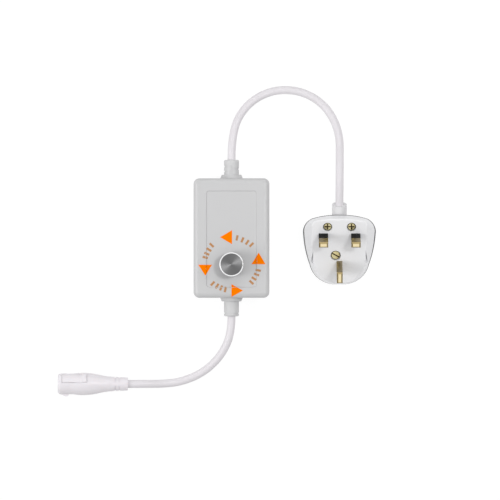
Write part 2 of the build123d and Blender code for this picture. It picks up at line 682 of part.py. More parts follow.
def floor_outline():
    """Shrink the seam's outline, as seen from above, to the plug's footprint."""
    seen = [
        (x, y * cos(radians(PLUG_TILT)) + SEAM_DEPTH * sin(radians(PLUG_TILT))) for x, y in SEAM_OUTLINE
    ]
    middle = (seen[0][1] + seen[-1][1]) / 2
    return [(x * BACK_SHARE, middle + (y - middle) * BACK_SHARE) for x, y in seen]


# Plug base: the moulding with the pin face
GROOVE_TOP = SEAM_DEPTH - SEAM_GROOVE_WIDTH
GROOVE_OUTLINE = [
    (face_x + (x - face_x) * GROOVE_TOP / SEAM_DEPTH, face_y + (y - face_y) * GROOVE_TOP / SEAM_DEPTH)
    for (face_x, face_y), (x, y) in zip(FACE_OUTLINE, SEAM_OUTLINE)
]
FACE_SCREWS = (
    (*COVER_SCREW_PLACE, COVER_HEAD_RADIUS, COVER_SHANK_RADIUS, PLUG_BOSS_RADIUS, SEAM_DEPTH),
    (GRIP_SCREW_X, GRIP_SCREW_Y, GRIP_HEAD_RADIUS, GRIP_SHANK_RADIUS, GRIP_BOSS_RADIUS, GRIP_BAR_DEPTH),
    (-GRIP_SCREW_X, GRIP_SCREW_Y, GRIP_HEAD_RADIUS, GRIP_SHANK_RADIUS, GRIP_BOSS_RADIUS, GRIP_BAR_DEPTH),
)
PIN_HOLES = (
    (PIN_PITCH / 2, 0, BLADE_WIDTH, BLADE_THICKNESS),
    (-PIN_PITCH / 2, 0, BLADE_WIDTH, BLADE_THICKNESS),
    (0, -PIN_PITCH, EARTH_WIDTH, EARTH_THICKNESS),
)
GRIP_BAR_FOOT = SLEEVE_DEPTH - SLEEVE_RADIUS + GRIP_BITE
CLIP_TOP = PLUG_FUSE_DEPTH - PLUG_FUSE_RADIUS - PIN_FIT - CLIP_SKIN
with BuildPart() as plug_base:
    groove = plug_section(at_plug(depth=GROOVE_TOP), GROOVE_OUTLINE)
    loft([groove, plug_section(at_plug(), FACE_OUTLINE)], ruled=True)
    fillet(plug_base.faces().sort_by(plug_axis)[-1].edges(), FACE_ROUND)
    lip = draw_in(SEAM_OUTLINE, SEAM_GROOVE_DEPTH)
    loft([plug_section(at_plug(depth=depth), lip) for depth in (SEAM_DEPTH, GROOVE_TOP)], ruled=True)
    loft(
        [
            plug_section(at_plug(depth=SEAM_DEPTH), draw_in(SEAM_OUTLINE, PLUG_WALL)),
            plug_section(at_plug(depth=PLUG_WALL), draw_in(FACE_OUTLINE, PLUG_WALL)),
        ],
        ruled=True,
        mode=Mode.SUBTRACT,
    )
    for x, y, head, shank, boss, boss_depth in FACE_SCREWS:
        with Locations(at_plug(x, y, PLUG_WALL)):
            Cylinder(boss, boss_depth - PLUG_WALL, align=SINKING)
    with Locations(at_plug(PIN_PITCH / 2, FAR_CLIP, PLUG_WALL)):
        Box(BLADE_WIDTH, CLIP_LENGTH, CLIP_TOP - PLUG_WALL, align=SINKING)
    for x, y, head, shank, boss, boss_depth in FACE_SCREWS:
        with Locations(at_plug(x, y)):
            Cylinder(head + HEAD_ROOM, HEAD_SINK + HEAD_HEIGHT, align=SINKING, mode=Mode.SUBTRACT)
            Cylinder(shank + SHANK_ROOM, SEAM_DEPTH, align=SINKING, mode=Mode.SUBTRACT)
    for x, y, width, thickness in PIN_HOLES:
        with Locations(at_plug(x, y)):
            Box(width + 2 * PIN_FIT, thickness + 2 * PIN_FIT, PLUG_WALL, align=SINKING, mode=Mode.SUBTRACT)
    for hand in (1, -1):
        with BuildSketch(at_plug()):
            with BuildLine():
                Polyline([(hand * x, y) for x, y in FINGER_SLOT], close=True)
            make_face()
        extrude(amount=-FINGER_SLOT_DEPTH, mode=Mode.SUBTRACT)
plug_base.part.label = "plug_base"
export_step(plug_base.part, "parts/plug_base.step")

# Plug cover: the back, flat on the ground
sleeve_root = Plane(
    origin=plug_point(0, SLEEVE_ROOT, SLEEVE_DEPTH), x_dir=plug_frame.x_dir, z_dir=plug_frame.y_dir
)
with BuildPart() as plug_cover:
    seam = plug_section(at_plug(depth=SEAM_DEPTH), SEAM_OUTLINE)
    loft([plug_section(plug_ground, floor_outline()), seam], ruled=True)
    with BuildSketch(plug_ground.offset(PLUG_FLOOR)):
        with Locations((0, (POCKET_TOP + POCKET_BOTTOM) / 2)):
            RectangleRounded(POCKET_WIDTH, POCKET_TOP - POCKET_BOTTOM, POCKET_CORNER)
    extrude(amount=PLUG_RISE, mode=Mode.SUBTRACT)
    with Locations(at_plug(*COVER_SCREW_PLACE, SEAM_DEPTH)):
        Cylinder(PLUG_BOSS_RADIUS, COVER_BOSS_DEPTH - SEAM_DEPTH, align=SINKING)
        Cylinder(COVER_SHANK_RADIUS + THREAD_CLEARANCE, COVER_SHANK_DEPTH - SEAM_DEPTH + CORE_GAP,
                 align=SINKING, mode=Mode.SUBTRACT)
    with Locations(sleeve_root):
        Cylinder(SLEEVE_RADIUS + SLEEVE_CLEARANCE, SLEEVE_TIP, align=RISING, mode=Mode.SUBTRACT)
    with Locations(at_plug(0, GRIP_SCREW_Y, SEAM_DEPTH)):
        Box(
            GRIP_BAR_WIDTH + 2 * GRIP_ROOM,
            GRIP_BAR_LENGTH + 2 * GRIP_ROOM,
            GRIP_BAR_FOOT + GRIP_ROOM - SEAM_DEPTH,
            align=SINKING,
            mode=Mode.SUBTRACT,
        )
plug_cover.part.label = "plug_cover"
export_step(plug_cover.part, "parts/plug_cover.step")

with BuildPart() as plug_sleeve:
    with Locations(sleeve_root):
        Cylinder(SLEEVE_RADIUS, SLEEVE_TIP - SLEEVE_ROOT, align=RISING)
plug_sleeve.part.label = "plug_sleeve"
export_step(plug_sleeve.part, "parts/plug_sleeve.step")

with BuildPart() as cord_grip:
    with Locations(at_plug(0, GRIP_SCREW_Y, GRIP_BAR_DEPTH)):
        Box(GRIP_BAR_WIDTH, GRIP_BAR_LENGTH, GRIP_BAR_FOOT - GRIP_BAR_DEPTH, align=SINKING)
    with Locations(*[at_plug(x, GRIP_SCREW_Y, GRIP_BAR_DEPTH) for x in (GRIP_SCREW_X, -GRIP_SCREW_X)]):
        Cylinder(GRIP_SHANK_RADIUS + THREAD_CLEARANCE, GRIP_BAR_FOOT, align=SINKING, mode=Mode.SUBTRACT)
    with Locations(sleeve_root):
        Cylinder(SLEEVE_RADIUS + THREAD_CLEARANCE, SLEEVE_TIP, align=RISING, mode=Mode.SUBTRACT)
cord_grip.part.label = "cord_grip"
export_step(cord_grip.part, "parts/cord_grip.step")

with BuildPart() as cover_screw:
    with Locations(at_plug(*COVER_SCREW_PLACE, HEAD_SINK)):
        Cylinder(COVER_HEAD_RADIUS, HEAD_HEIGHT, align=SINKING)
        Cylinder(COVER_SHANK_RADIUS, COVER_SHANK_DEPTH - HEAD_SINK, align=SINKING)
        chamfer(cover_screw.edges().group_by(plug_axis)[-1], HEAD_CHAMFER)
        with Locations(Rotation(0, 0, COVER_SLOT_TURN)):
            Box(SLOT_WIDTH, 2 * COVER_HEAD_RADIUS, SLOT_DEPTH, align=SINKING, mode=Mode.SUBTRACT)
cover_screw.part.label = "cover_screw"
export_step(cover_screw.part, "parts/cover_screw.step")

with BuildPart() as grip_screws:
    with Locations(*[at_plug(x, GRIP_SCREW_Y, HEAD_SINK) for x in (GRIP_SCREW_X, -GRIP_SCREW_X)]):
        Cylinder(GRIP_HEAD_RADIUS, HEAD_HEIGHT, align=SINKING)
        Cylinder(GRIP_SHANK_RADIUS, GRIP_BAR_FOOT - HEAD_SINK, align=SINKING)
        chamfer(grip_screws.edges().group_by(plug_axis)[-1], HEAD_CHAMFER)
        Box(SLOT_WIDTH, GRIP_CROSS_LENGTH, SLOT_DEPTH, align=SINKING, mode=Mode.SUBTRACT)
        Box(GRIP_CROSS_LENGTH, SLOT_WIDTH, SLOT_DEPTH, align=SINKING, mode=Mode.SUBTRACT)
grip_screws.part.label = "grip_screws"
export_step(grip_screws.part, "parts/grip_screws.step")


def make_blade(hand, block_depth):
    """Make the line or neutral pin: bare tip, thinner shank in the sleeve, and the block behind the face."""
    x = hand * PIN_PITCH / 2
    with BuildPart() as blade:
        with Locations(at_plug(x, 0, -SLEEVE_LENGTH)):
            Box(BLADE_WIDTH, BLADE_THICKNESS, BLADE_LENGTH - SLEEVE_LENGTH, align=RISING)
        chamfer(blade.faces().sort_by(plug_axis)[-1].edges(), PIN_TIP_CHAMFER)
        with Locations(at_plug(x, 0, PLUG_WALL)):
            Box(
                BLADE_WIDTH - 2 * SLEEVE_SKIN, BLADE_THICKNESS - 2 * SLEEVE_SKIN, PLUG_WALL + SLEEVE_LENGTH,
                align=RISING,
            )
            Box(BLOCK_WIDTH, BLOCK_LENGTH, block_depth - PLUG_WALL, align=SINKING)
    return blade.part


line_pin = make_blade(1, CLIP_TOP)
line_pin.label = "line_pin"
export_step(line_pin, "parts/line_pin.step")

neutral_pin = make_blade(-1, NEUTRAL_BLOCK_DEPTH)
neutral_pin.label = "neutral_pin"
export_step(neutral_pin, "parts/neutral_pin.step")

with BuildPart() as earth_pin:
    with Locations(at_plug(0, -PIN_PITCH, PLUG_WALL)):
        Box(EARTH_WIDTH, EARTH_THICKNESS, EARTH_LENGTH + PLUG_WALL, align=RISING)
    chamfer(earth_pin.faces().sort_by(plug_axis)[-1].edges(), PIN_TIP_CHAMFER)
    with Locations(at_plug(0, -PIN_PITCH, PLUG_WALL)):
        Box(BLOCK_WIDTH, BLOCK_LENGTH, EARTH_BLOCK_DEPTH - PLUG_WALL, align=SINKING)
earth_pin.part.label = "earth_pin"
export_step(earth_pin.part, "parts/earth_pin.step")

with BuildPart() as pin_sleeves:
    with Locations(at_plug(PIN_PITCH / 2, 0, PLUG_WALL), at_plug(-PIN_PITCH / 2, 0, PLUG_WALL)):
        Box(BLADE_WIDTH, BLADE_THICKNESS, PLUG_WALL + SLEEVE_LENGTH, align=RISING)
        Box(
            BLADE_WIDTH - 2 * SLEEVE_SKIN, BLADE_THICKNESS - 2 * SLEEVE_SKIN, PLUG_WALL + SLEEVE_LENGTH,
            align=RISING, mode=Mode.SUBTRACT,
        )
pin_sleeves.part.label = "pin_sleeves"
export_step(pin_sleeves.part, "parts/pin_sleeves.step")


def fuse_plane(y):
    """Give the plane across the fuse's axis at a place along the face."""
    centre = plug_point(PIN_PITCH / 2, y, PLUG_FUSE_DEPTH)
    return Plane(origin=centre, x_dir=plug_frame.x_dir, z_dir=-plug_frame.y_dir)


with BuildPart() as plug_fuse:
    with Locations(fuse_plane(PLUG_FUSE_END)):
        Cylinder(PLUG_FUSE_RADIUS, PLUG_FUSE_LENGTH, align=RISING)
plug_fuse.part.label = "plug_fuse"
export_step(plug_fuse.part, "parts/plug_fuse.step")

with BuildPart() as fuse_clips:
    for middle in (NEAR_CLIP, FAR_CLIP):
        with BuildSketch(fuse_plane(middle + CLIP_LENGTH / 2)):
            Circle(PLUG_FUSE_RADIUS + PIN_FIT + CLIP_SKIN)
            Circle(PLUG_FUSE_RADIUS + PIN_FIT, mode=Mode.SUBTRACT)
            with Locations((0, CLIP_MOUTH)):
                Rectangle(
                    3 * PLUG_FUSE_RADIUS, 2 * PLUG_FUSE_RADIUS,
                    align=(Align.CENTER, Align.MIN), mode=Mode.SUBTRACT,
                )
        extrude(amount=CLIP_LENGTH)
fuse_clips.part.label = "fuse_clips"
export_step(fuse_clips.part, "parts/fuse_clips.step")

with BuildPart() as terminal_screws:
    with Locations(
        at_plug(-PIN_PITCH / 2, 0, NEUTRAL_BLOCK_DEPTH + TERMINAL_SCREW_HEIGHT),
        at_plug(0, -PIN_PITCH, EARTH_BLOCK_DEPTH + TERMINAL_SCREW_HEIGHT),
    ):
        Cylinder(TERMINAL_SCREW_RADIUS, TERMINAL_SCREW_HEIGHT, align=RISING)
        Box(SLOT_WIDTH, 2 * TERMINAL_SCREW_RADIUS, SLOT_DEPTH, align=RISING, mode=Mode.SUBTRACT)
terminal_screws.part.label = "terminal_screws"
export_step(terminal_screws.part, "parts/terminal_screws.step")

WIRE_DROP = 4.5
LINE_CORE_SIDESTEP = 2.6
LINE_CORE_TURN = -6.0
LINE_CORE_RISE = 1.0
NEUTRAL_ENTRY = -BLOCK_LENGTH / 2
WIRE_TURN = NEUTRAL_ENTRY - WIRE_DROP
WIRE_DEPTH = (PLUG_WALL + NEUTRAL_BLOCK_DEPTH) / 2
CLIP_SIDE = PIN_PITCH / 2 - PLUG_FUSE_RADIUS - PIN_FIT - CLIP_SKIN
LINE_CORE_X = CORE_OFFSET + LINE_CORE_SIDESTEP
neutral_core, _ = make_tube(
    [
        plug_point(-CORE_OFFSET, SLEEVE_ROOT, SLEEVE_DEPTH),
        plug_point(-CORE_OFFSET, WIRE_TURN, SLEEVE_DEPTH),
        plug_point(-PIN_PITCH / 2, WIRE_TURN, SLEEVE_DEPTH),
        plug_point(-PIN_PITCH / 2, WIRE_TURN, WIRE_DEPTH),
        plug_point(-PIN_PITCH / 2, NEUTRAL_ENTRY, WIRE_DEPTH),
    ],
    CORE_RADIUS,
)
line_core, _ = make_tube(
    [
        plug_point(CORE_OFFSET, SLEEVE_ROOT, SLEEVE_DEPTH),
        plug_point(CORE_OFFSET, 0.0, SLEEVE_DEPTH),
        plug_point(LINE_CORE_X, LINE_CORE_TURN, SLEEVE_DEPTH - LINE_CORE_RISE),
        plug_point(LINE_CORE_X, FAR_CLIP, PLUG_FUSE_DEPTH),
        plug_point(CLIP_SIDE, FAR_CLIP, PLUG_FUSE_DEPTH),
    ],
    CORE_RADIUS,
)
plug_wires = Compound(children=[neutral_core.solid(), line_core.solid()])
plug_wires.label = "plug_wires"
export_step(plug_wires, "parts/plug_wires.step")

# Connector for the strip, lying on its barrel with the mouth towards -X.
# Distances along it are counted from the end of its tail, where the cord comes in.
CONNECTOR_TAIL = (-71.3, -100.3)
CONNECTOR_RISE = 7.72
CONNECTOR_LENGTH = 48.1
BARREL_PROFILE = (
    (12.0, 5.1), (16.0, 5.55), (20.0, 6.4), (24.4, 7.25), (30.0, 7.7),
    (34.5, 7.55), (39.0, 7.1), (43.5, 7.3), (46.8, 7.1),
)
MOUTH_RADIUS = 6.2
SOCKET_RADIUS = 4.8
SOCKET_DEPTH = 9.0
INSERT_START = 22.0
INSERT_RADIUS = 4.4
INSERT_FIT = 0.02
WIRE_ROOM_RADIUS = 3.2
SPIGOT_RADIUS = 4.0
SPIGOT_LENGTH = 3.0
TAIL_RADIUS = 4.45
TAIL_SLOT_WIDTH = 0.9
TAIL_SLOT_DEPTH = 0.75
TAIL_SLOTS = (5.4, 8.2)
CONTACT_PITCH = 4.4
CONTACT_RADIUS = 1.3
CONTACT_BORE = 0.8
CONTACT_BORE_DEPTH = 8.0
CONTACT_START = 24.0
TOOTH_PLACE = 42.0
TOOTH_LENGTH = 3.6
TOOTH_WIDTH = 3.2
TOOTH_RADIUS = 8.6
TOOTH_ROOT = 5.8
TOOTH_RAMP_END = (46.9, 6.8)

# Catch arm along the barrel
ARM_LEAN = 35.0
ARM_WIDTH = 6.4
ARM_START = 28.2
ARM_END = 45.1
ARM_UNDERSIDE = 6.1
ARM_RADIUS = 7.45
ARM_LIP_RADIUS = 8.1
ARM_LIP_LENGTH = 3.6
CHANNEL_FLOOR = 5.45
CHANNEL_ROOM = 0.2

TAIL_LENGTH = BARREL_PROFILE[0][0]
INSERT_END = CONNECTOR_LENGTH - SOCKET_DEPTH
connector_profile = Plane(origin=(*CONNECTOR_TAIL, CONNECTOR_RISE), x_dir=(-1, 0, 0), z_dir=(0, 1, 0))
connector_axis = Axis(connector_profile.origin, (-1, 0, 0))
arm_frame = Plane(
    origin=(*CONNECTOR_TAIL, CONNECTOR_RISE),
    x_dir=(-1, 0, 0),
    z_dir=(0, sin(radians(ARM_LEAN)), cos(radians(ARM_LEAN))),
)


def connector_point(distance, across):
    """Give a point in the connector's level middle plane."""
    return (CONNECTOR_TAIL[0] - distance, CONNECTOR_TAIL[1] + across, CONNECTOR_RISE)


def along(distance):
    """Give the plane across the connector at a distance from its tail, facing the mouth."""
    return Plane(origin=connector_point(distance, 0), x_dir=(0, -1, 0), z_dir=(-1, 0, 0))


with BuildPart() as connector_body:
    with BuildSketch(connector_profile):
        with BuildLine():
            Spline(*BARREL_PROFILE)
            Polyline(
                BARREL_PROFILE[-1], (CONNECTOR_LENGTH, MOUTH_RADIUS), (CONNECTOR_LENGTH, 0), (TAIL_LENGTH, 0),
                BARREL_PROFILE[0],
            )
        make_face()
    revolve(axis=connector_axis)
    with BuildSketch(Plane(origin=(*CONNECTOR_TAIL, CONNECTOR_RISE), x_dir=(-1, 0, 0), z_dir=(0, 0, 1))):
        with BuildLine():
            Polyline(
                (TOOTH_PLACE - TOOTH_LENGTH / 2, TOOTH_ROOT),
                (TOOTH_PLACE - TOOTH_LENGTH / 4, TOOTH_RADIUS),
                (TOOTH_PLACE + TOOTH_LENGTH / 4, TOOTH_RADIUS),
                TOOTH_RAMP_END,
                close=True,
            )
        make_face()
    extrude(amount=TOOTH_WIDTH / 2, both=True)
    with Locations(along(TAIL_LENGTH)):
        Cylinder(SPIGOT_RADIUS + INSERT_FIT, SPIGOT_LENGTH, align=RISING, mode=Mode.SUBTRACT)
        Cylinder(WIRE_ROOM_RADIUS, INSERT_START - TAIL_LENGTH, align=RISING, mode=Mode.SUBTRACT)
    with Locations(along(INSERT_START)):
        Cylinder(INSERT_RADIUS, INSERT_END - INSERT_START, align=RISING, mode=Mode.SUBTRACT)
    with Locations(along(INSERT_END)):
        Cylinder(SOCKET_RADIUS, SOCKET_DEPTH, align=RISING, mode=Mode.SUBTRACT)
    with Locations(arm_frame.offset(CHANNEL_FLOOR)):
        with Locations((ARM_START - CHANNEL_ROOM, 0)):
            Box(
                ARM_END - ARM_START + 2 * CHANNEL_ROOM, ARM_WIDTH + 2 * CHANNEL_ROOM, CONNECTOR_RISE,
                align=(Align.MIN, Align.CENTER, Align.MIN), mode=Mode.SUBTRACT,
            )
connector_body.part.label = "connector_body"
export_step(connector_body.part, "parts/connector_body.step")

with BuildPart() as connector_latch:
    with BuildSketch(connector_profile):
        with BuildLine():
            Polyline(
                (ARM_START, 0), (ARM_START, ARM_LIP_RADIUS), (ARM_START + ARM_LIP_LENGTH / 2, ARM_LIP_RADIUS),
                (ARM_START + ARM_LIP_LENGTH, ARM_RADIUS), (ARM_END, ARM_RADIUS), (ARM_END, 0), close=True,
            )
        make_face()
    revolve(axis=connector_axis)
    with Locations(arm_frame.offset(ARM_UNDERSIDE)):
        Box(
            2 * CONNECTOR_LENGTH, ARM_WIDTH, CONNECTOR_RISE,
            align=(Align.CENTER, Align.CENTER, Align.MIN), mode=Mode.INTERSECT,
        )
connector_latch.part.label = "connector_latch"
export_step(connector_latch.part, "parts/connector_latch.step")

with BuildPart() as connector_insert:
    with Locations(along(INSERT_START)):
        Cylinder(INSERT_RADIUS - INSERT_FIT, INSERT_END - INSERT_START, align=RISING)
        with GridLocations(CONTACT_PITCH, 1, 2, 1):
            Cylinder(CORE_RADIUS + INSERT_FIT, CONTACT_START - INSERT_START, align=RISING, mode=Mode.SUBTRACT)
    with Locations(along(CONTACT_START)):
        with GridLocations(CONTACT_PITCH, 1, 2, 1):
            Cylinder(
                CONTACT_RADIUS + INSERT_FIT, INSERT_END - CONTACT_START, align=RISING, mode=Mode.SUBTRACT
            )
connector_insert.part.label = "connector_insert"
export_step(connector_insert.part, "parts/connector_insert.step")

with BuildPart() as contact_tubes:
    with Locations(along(INSERT_END)):
        with GridLocations(CONTACT_PITCH, 1, 2, 1):
            Cylinder(CONTACT_RADIUS, INSERT_END - CONTACT_START, align=SINKING)
            Cylinder(CONTACT_BORE, CONTACT_BORE_DEPTH, align=SINKING, mode=Mode.SUBTRACT)
contact_tubes.part.label = "contact_tubes"
export_step(contact_tubes.part, "parts/contact_tubes.step")

with BuildPart() as connector_tail:
    with Locations(along(0)):
        Cone(TAIL_RADIUS, BARREL_PROFILE[0][1], TAIL_LENGTH, align=RISING)
    with Locations(along(TAIL_LENGTH)):
        Cylinder(SPIGOT_RADIUS, SPIGOT_LENGTH, align=RISING)
    for distance in TAIL_SLOTS:
        for hand in (1, -1):
            with BuildSketch(along(distance)):
                half_ring(BARREL_PROFILE[0][1], TAIL_SLOT_DEPTH, hand, SLOT_WEB)
            extrude(amount=TAIL_SLOT_WIDTH, mode=Mode.SUBTRACT)
connector_tail.part.label = "connector_tail"
export_step(connector_tail.part, "parts/connector_tail.step")

CORE_LEAD = 2.75
SPIGOT_END = TAIL_LENGTH + SPIGOT_LENGTH
connector_cores = []
for hand in (1, -1):
    core, _ = make_tube(
        [
            connector_point(SPIGOT_END, hand * CORE_OFFSET),
            connector_point(SPIGOT_END + CORE_LEAD, hand * CORE_OFFSET),
            connector_point(CONTACT_START - CORE_LEAD, hand * CONTACT_PITCH / 2),
            connector_point(CONTACT_START, hand * CONTACT_PITCH / 2),
        ],
        CORE_RADIUS,
    )
    connector_cores.append(core.solid())
connector_wires = Compound(children=connector_cores)
connector_wires.label = "connector_wires"
export_step(connector_wires, "parts/connector_wires.step")

# Cords, each shown end to end in the photograph: straight out of the gland, down to the ground and up again
STRAIGHT_OUT = 19.5
STRAIGHT_FROM_PLUG = 14.5
INPUT_ROUTE = [
    (0, GLAND_END, PARTING_HEIGHT),
    (0, GLAND_END + STRAIGHT_OUT, PARTING_HEIGHT),
    (9.6, 91.6, 6.8),
    (27.0, 102.0, 2.75),
    (47.4, 101.8, 2.75),
    (64.6, 91.8, 3.4),
    (74.4, 73.5, 8.6),
    (74.3, 51.5, 19.6),
    plug_point(0, SLEEVE_TIP + STRAIGHT_FROM_PLUG, SLEEVE_DEPTH),
    plug_point(0, SLEEVE_TIP, SLEEVE_DEPTH),
]
OUTPUT_ROUTE = [
    (0, -GLAND_END, PARTING_HEIGHT),
    (0, -66.0, PARTING_HEIGHT),
    (-7.5, -81.5, 9.5),
    (-19.8, -92.8, 5.5),
    (-34.5, -98.9, 2.75),
    (-47.0, CONNECTOR_TAIL[1], 2.75),
    (-59.5, CONNECTOR_TAIL[1], CONNECTOR_RISE),
    (*CONNECTOR_TAIL, CONNECTOR_RISE),
]

input_cord, input_length = make_tube(INPUT_ROUTE, CORD_DIAMETER / 2)
input_cord.label = "input_cord"
export_step(input_cord, "parts/input_cord.step")

output_cord, output_length = make_tube(OUTPUT_ROUTE, CORD_DIAMETER / 2)
output_cord.label = "output_cord"
export_step(output_cord, "parts/output_cord.step")

for name, cord, length, route in (
    ("input cord", input_cord, input_length, INPUT_ROUTE),
    ("output cord", output_cord, output_length, OUTPUT_ROUTE),
):
    section = pi * (CORD_DIAMETER / 2) ** 2
    print(name, "length", round(length, 1), "lowest", round(cord.bounding_box().min.Z, 3))
    print("radii", [round(radius, 1) for radius in bend_radii(route)])
    print("volume over section times length", round(cord.volume / (section * length), 5))
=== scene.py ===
"""Looks of a light strip's power cord with an inline dimmer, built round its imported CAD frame.

Every length is in metres, in the frame's own axes: +Z out of the knob's face, towards the
camera, and +Y along the dimmer case towards the mains cord.
"""

import logging
import math
from collections.abc import Iterable
from dataclasses import dataclass
from enum import Enum

import bmesh
import bpy
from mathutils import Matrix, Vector


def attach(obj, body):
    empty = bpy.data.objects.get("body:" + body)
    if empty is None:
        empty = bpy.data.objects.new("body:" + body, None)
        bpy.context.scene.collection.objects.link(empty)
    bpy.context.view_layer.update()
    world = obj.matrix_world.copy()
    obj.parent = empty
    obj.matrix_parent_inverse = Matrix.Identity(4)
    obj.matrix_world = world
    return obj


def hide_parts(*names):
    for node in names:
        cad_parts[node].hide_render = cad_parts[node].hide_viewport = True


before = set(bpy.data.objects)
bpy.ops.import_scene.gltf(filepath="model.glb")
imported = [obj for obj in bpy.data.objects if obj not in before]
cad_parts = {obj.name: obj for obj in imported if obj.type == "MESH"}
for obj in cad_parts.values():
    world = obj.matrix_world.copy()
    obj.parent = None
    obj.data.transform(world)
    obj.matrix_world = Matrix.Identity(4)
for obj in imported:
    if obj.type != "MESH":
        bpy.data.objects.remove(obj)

logger = logging.getLogger("dimmer_cord")

Point = tuple[float, float, float]
Colour = tuple[float, float, float]

MM = 0.001

COAT_ROUGHNESS = 0.12
SCATTER_WEIGHT = 0.25
SCATTER_TINT = (1.0, 0.9, 0.85)
MOTTLE_SCALE = 90.0
MOTTLE_DETAIL = 3.0
ACROSS_THE_GRAIN = 0.25
BRUSH_STRETCH = (1.0, 0.04, 0.04)
BRUSH_DETAIL = 2.0
SHEATH_DETAIL = 2.0
MOULD_DETAIL = 4.0
# Painted highlight: faces turned this far along the pins get the bright tip colour.
PIN_TIP_HIGHLIGHT_FACING = 0.9


class Grain(Enum):
    """How a finish's surface is broken up close by."""

    NONE = "none"
    MOULDED = "moulded"
    SHEATH = "sheath"
    TURNED = "turned"
    BRUSHED = "brushed"


class Region(Enum):
    """Which part of a piece an accent covers."""

    # partly real, partly painted highlight: the bright chamfer round the knob's face
    KNOB_RIM_HIGHLIGHT = "knob_rim"
    # painted highlight on the faces of the pins' tips
    PIN_TIP_HIGHLIGHT = "pin_tip"
    # the screws' top faces, outside the painted shade of their slots and recesses
    SCREW_FACE = "screw_face"
    # painted shade: the dark band along the plug cover's seam
    SEAM_SHADE = "seam"


@dataclass(frozen=True)
class Accent:
    """A second colour and roughness on one region of a piece.

    Attributes:
        region: where it is.
        colour: its colour, linear.
        roughness: its roughness, 0 to 1.
    """

    region: Region
    colour: Colour
    roughness: float


@dataclass(frozen=True)
class Finish:
    """A surface, as the settings of one procedural material.

    Attributes:
        name: the material's name.
        colour: base colour, linear.
        roughness: surface roughness, 0 to 1.
        metallic: 1 for bare metal.
        grain: the fine relief on the surface.
        relief: height of that relief, in metres.
        scale: how many grains go into a metre.
        mottle: how far the colour drifts lighter and darker, as a share of itself.
        anisotropy: how far highlights stretch round the turning axis.
        coat: strength of a clear gloss layer.
        clear: share of light that passes through.
        scatter: depth of light under the surface, in metres.
        accent: a region with another colour and roughness.
        specular: level of the plain surface reflection, 0 to 1.
    """

    name: str
    colour: Colour
    roughness: float = 0.5
    metallic: float = 0.0
    grain: Grain = Grain.NONE
    relief: float = 0.0
    scale: float = 2500.0
    mottle: float = 0.0
    anisotropy: float = 0.0
    coat: float = 0.0
    clear: float = 0.0
    scatter: float = 0.0
    accent: Accent | None = None
    specular: float = 0.5


